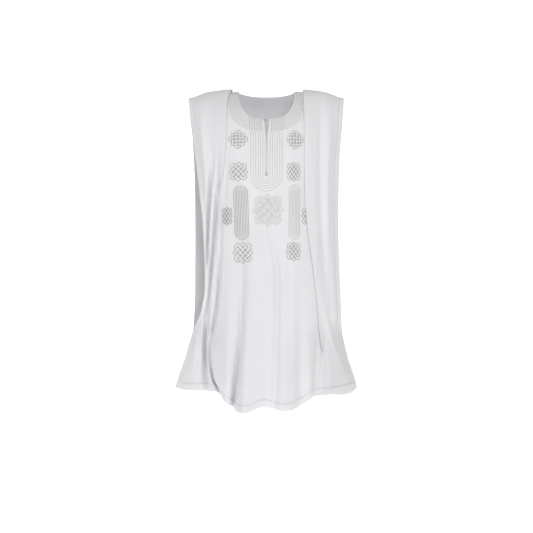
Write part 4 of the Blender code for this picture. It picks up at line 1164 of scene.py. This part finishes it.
def make_thread(name, colour, shade, roughness):
    """Rayon or sewing thread in close parallel stitches, like satin, that catch the light; the grooves
    between the stitches have a painted shade.
    """
    material, shader = new_material(name, {"Roughness": roughness, "IOR": 1.52, "Sheen Weight": 0.15})
    cloth = add_node(material, "ShaderNodeTexCoord", {}, {}).outputs["UV"]
    stitches = add_node(
        material, "ShaderNodeTexWave", {"bands_direction": "X"},
        {"Vector": cloth, "Scale": WAVE_LENGTH / STITCH_PITCH, "Distortion": 1.5, "Detail": 2.0},
    ).outputs["Fac"]
    relief = add_node(
        material, "ShaderNodeBump", {}, {"Strength": 0.35, "Distance": 0.0003, "Height": stitches}
    )
    # painted shade: the colour runs down to the thread's shade where the stitch wave is low, in the grooves
    # between the stitches
    tone = add_node(material, "ShaderNodeValToRGB", {}, {"Fac": stitches})
    tone.color_ramp.elements[0].color = linear(shade)
    tone.color_ramp.elements[1].color = linear(colour)
    material.node_tree.links.new(tone.outputs["Color"], shader.inputs["Base Color"])
    material.node_tree.links.new(relief.outputs["Normal"], shader.inputs["Normal"])
    return material


def make_studio_paper():
    """White background paper; its glow fades to the sides, so that the robe's back isn't bleached."""
    finish = {"Base Color": linear("#FBFBFB"), "Roughness": 0.9, "Emission Color": linear("#FFFFFF")}
    material, shader = new_material("white_studio_paper", finish)
    place = add_node(material, "ShaderNodeTexCoord", {}, {}).outputs["Object"]
    parts = add_node(material, "ShaderNodeSeparateXYZ", {}, {"Vector": place})
    aside = add_node(material, "ShaderNodeMath", {"operation": "ABSOLUTE"}, {0: parts.outputs["X"]})
    glow = add_node(
        material, "ShaderNodeMapRange", {"interpolation_type": "SMOOTHSTEP"},
        {
            "Value": aside.outputs["Value"], "From Min": GLOW_FADE[0], "From Max": GLOW_FADE[1],
            "To Min": GLOW, "To Max": FAR_GLOW,
        },
    )
    material.node_tree.links.new(glow.outputs["Result"], shader.inputs["Emission Strength"])
    return material


def make_stage():
    """A seamless pale studio floor that rises behind the robe."""
    rise = [(PAPER_FRONT, 0.0), (SWEEP_START, 0.0)]
    for a in np.linspace(0.1, 0.5 * math.pi, 12):
        rise.append((SWEEP_START + SWEEP_RADIUS * math.sin(a), SWEEP_RADIUS - SWEEP_RADIUS * math.cos(a)))
    rise.append((SWEEP_START + SWEEP_RADIUS, PAPER_TOP))
    sides = (-PAPER_HALF_WIDTH, PAPER_HALF_WIDTH)
    points = [(x, y, FLOOR_HEIGHT + z) for x in sides for y, z in rise]
    count = len(rise)
    faces = [(k, k + count, k + count + 1, k + 1) for k in range(count - 1)]
    mesh = bpy.data.meshes.new("studio_floor")
    mesh.from_pydata(points, [], faces)
    mesh.materials.append(make_studio_paper())
    mesh.shade_smooth()
    floor = bpy.data.objects.new("studio_floor", mesh)
    bpy.context.scene.collection.objects.link(floor)


def add_softbox(name, place, target, size, power):
    """A square studio light that faces a point."""
    data = bpy.data.lights.new(name, "AREA")
    data.shape = "SQUARE"
    data.size = size
    data.energy = power
    light = bpy.data.objects.new(name, data)
    light.location = place
    way = [b - a for a, b in zip(place, target)]
    light.rotation_euler = Vector(way).to_track_quat("-Z", "Y").to_euler()
    bpy.context.scene.collection.objects.link(light)


def make_studio():
    """Soft light from the front, white all round, and the camera level with the hips."""
    scene = bpy.context.scene
    world = bpy.data.worlds.new("studio")
    world.use_nodes = True
    world.node_tree.nodes["Background"].inputs["Color"].default_value = linear("#FFFFFF")
    world.node_tree.nodes["Background"].inputs["Strength"].default_value = SKY_STRENGTH
    scene.world = world
    scene.view_settings.view_transform = "Standard"
    for row in SOFTBOXES:
        add_softbox(*row)
    data = bpy.data.cameras.new("camera")
    data.sensor_width = 36.0
    data.lens = CAMERA_LENS
    camera = bpy.data.objects.new("camera", data)
    camera.location = (0.0, -CAMERA_AWAY, CAMERA_HEIGHT)
    camera.rotation_euler = (0.5 * math.pi, 0.0, 0.0)
    scene.collection.objects.link(camera)
    scene.camera = camera


def main():
    """Dresses the frame."""
    make_studio()
    make_stage()
    cotton = make_white_cotton()
    pale, bright, middling, smoke, deep, sewing = [make_thread(*row) for row in THREADS]
    front = make_cloth("front_cloth", FRONT, FRONT_MESH, cotton)
    back = make_cloth("back_cloth", BACK, BACK_MESH, cotton)
    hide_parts("front_panel")
    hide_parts("back_panel")
    # the hem stitches' grey is painted shade of the hems' stitched grooves
    front_stitches = make_hem_stitches("front_hem_stitches", FRONT, sewing)
    back_stitches = make_hem_stitches("back_hem_stitches", BACK, sewing)
    worked = make_neck_bands((pale, middling))
    worked.append(make_plastron((pale, middling)))
    # the left oval's greyer threads are painted shade
    worked += make_ovals((bright, smoke), (pale, middling))
    worked.append(make_knot(*KNOTS[0], (bright, smoke)))
    worked += [make_knot(*row, (bright, deep)) for row in KNOTS[1:]]
    worked.append(make_slit_edges((pale, middling)))


main()
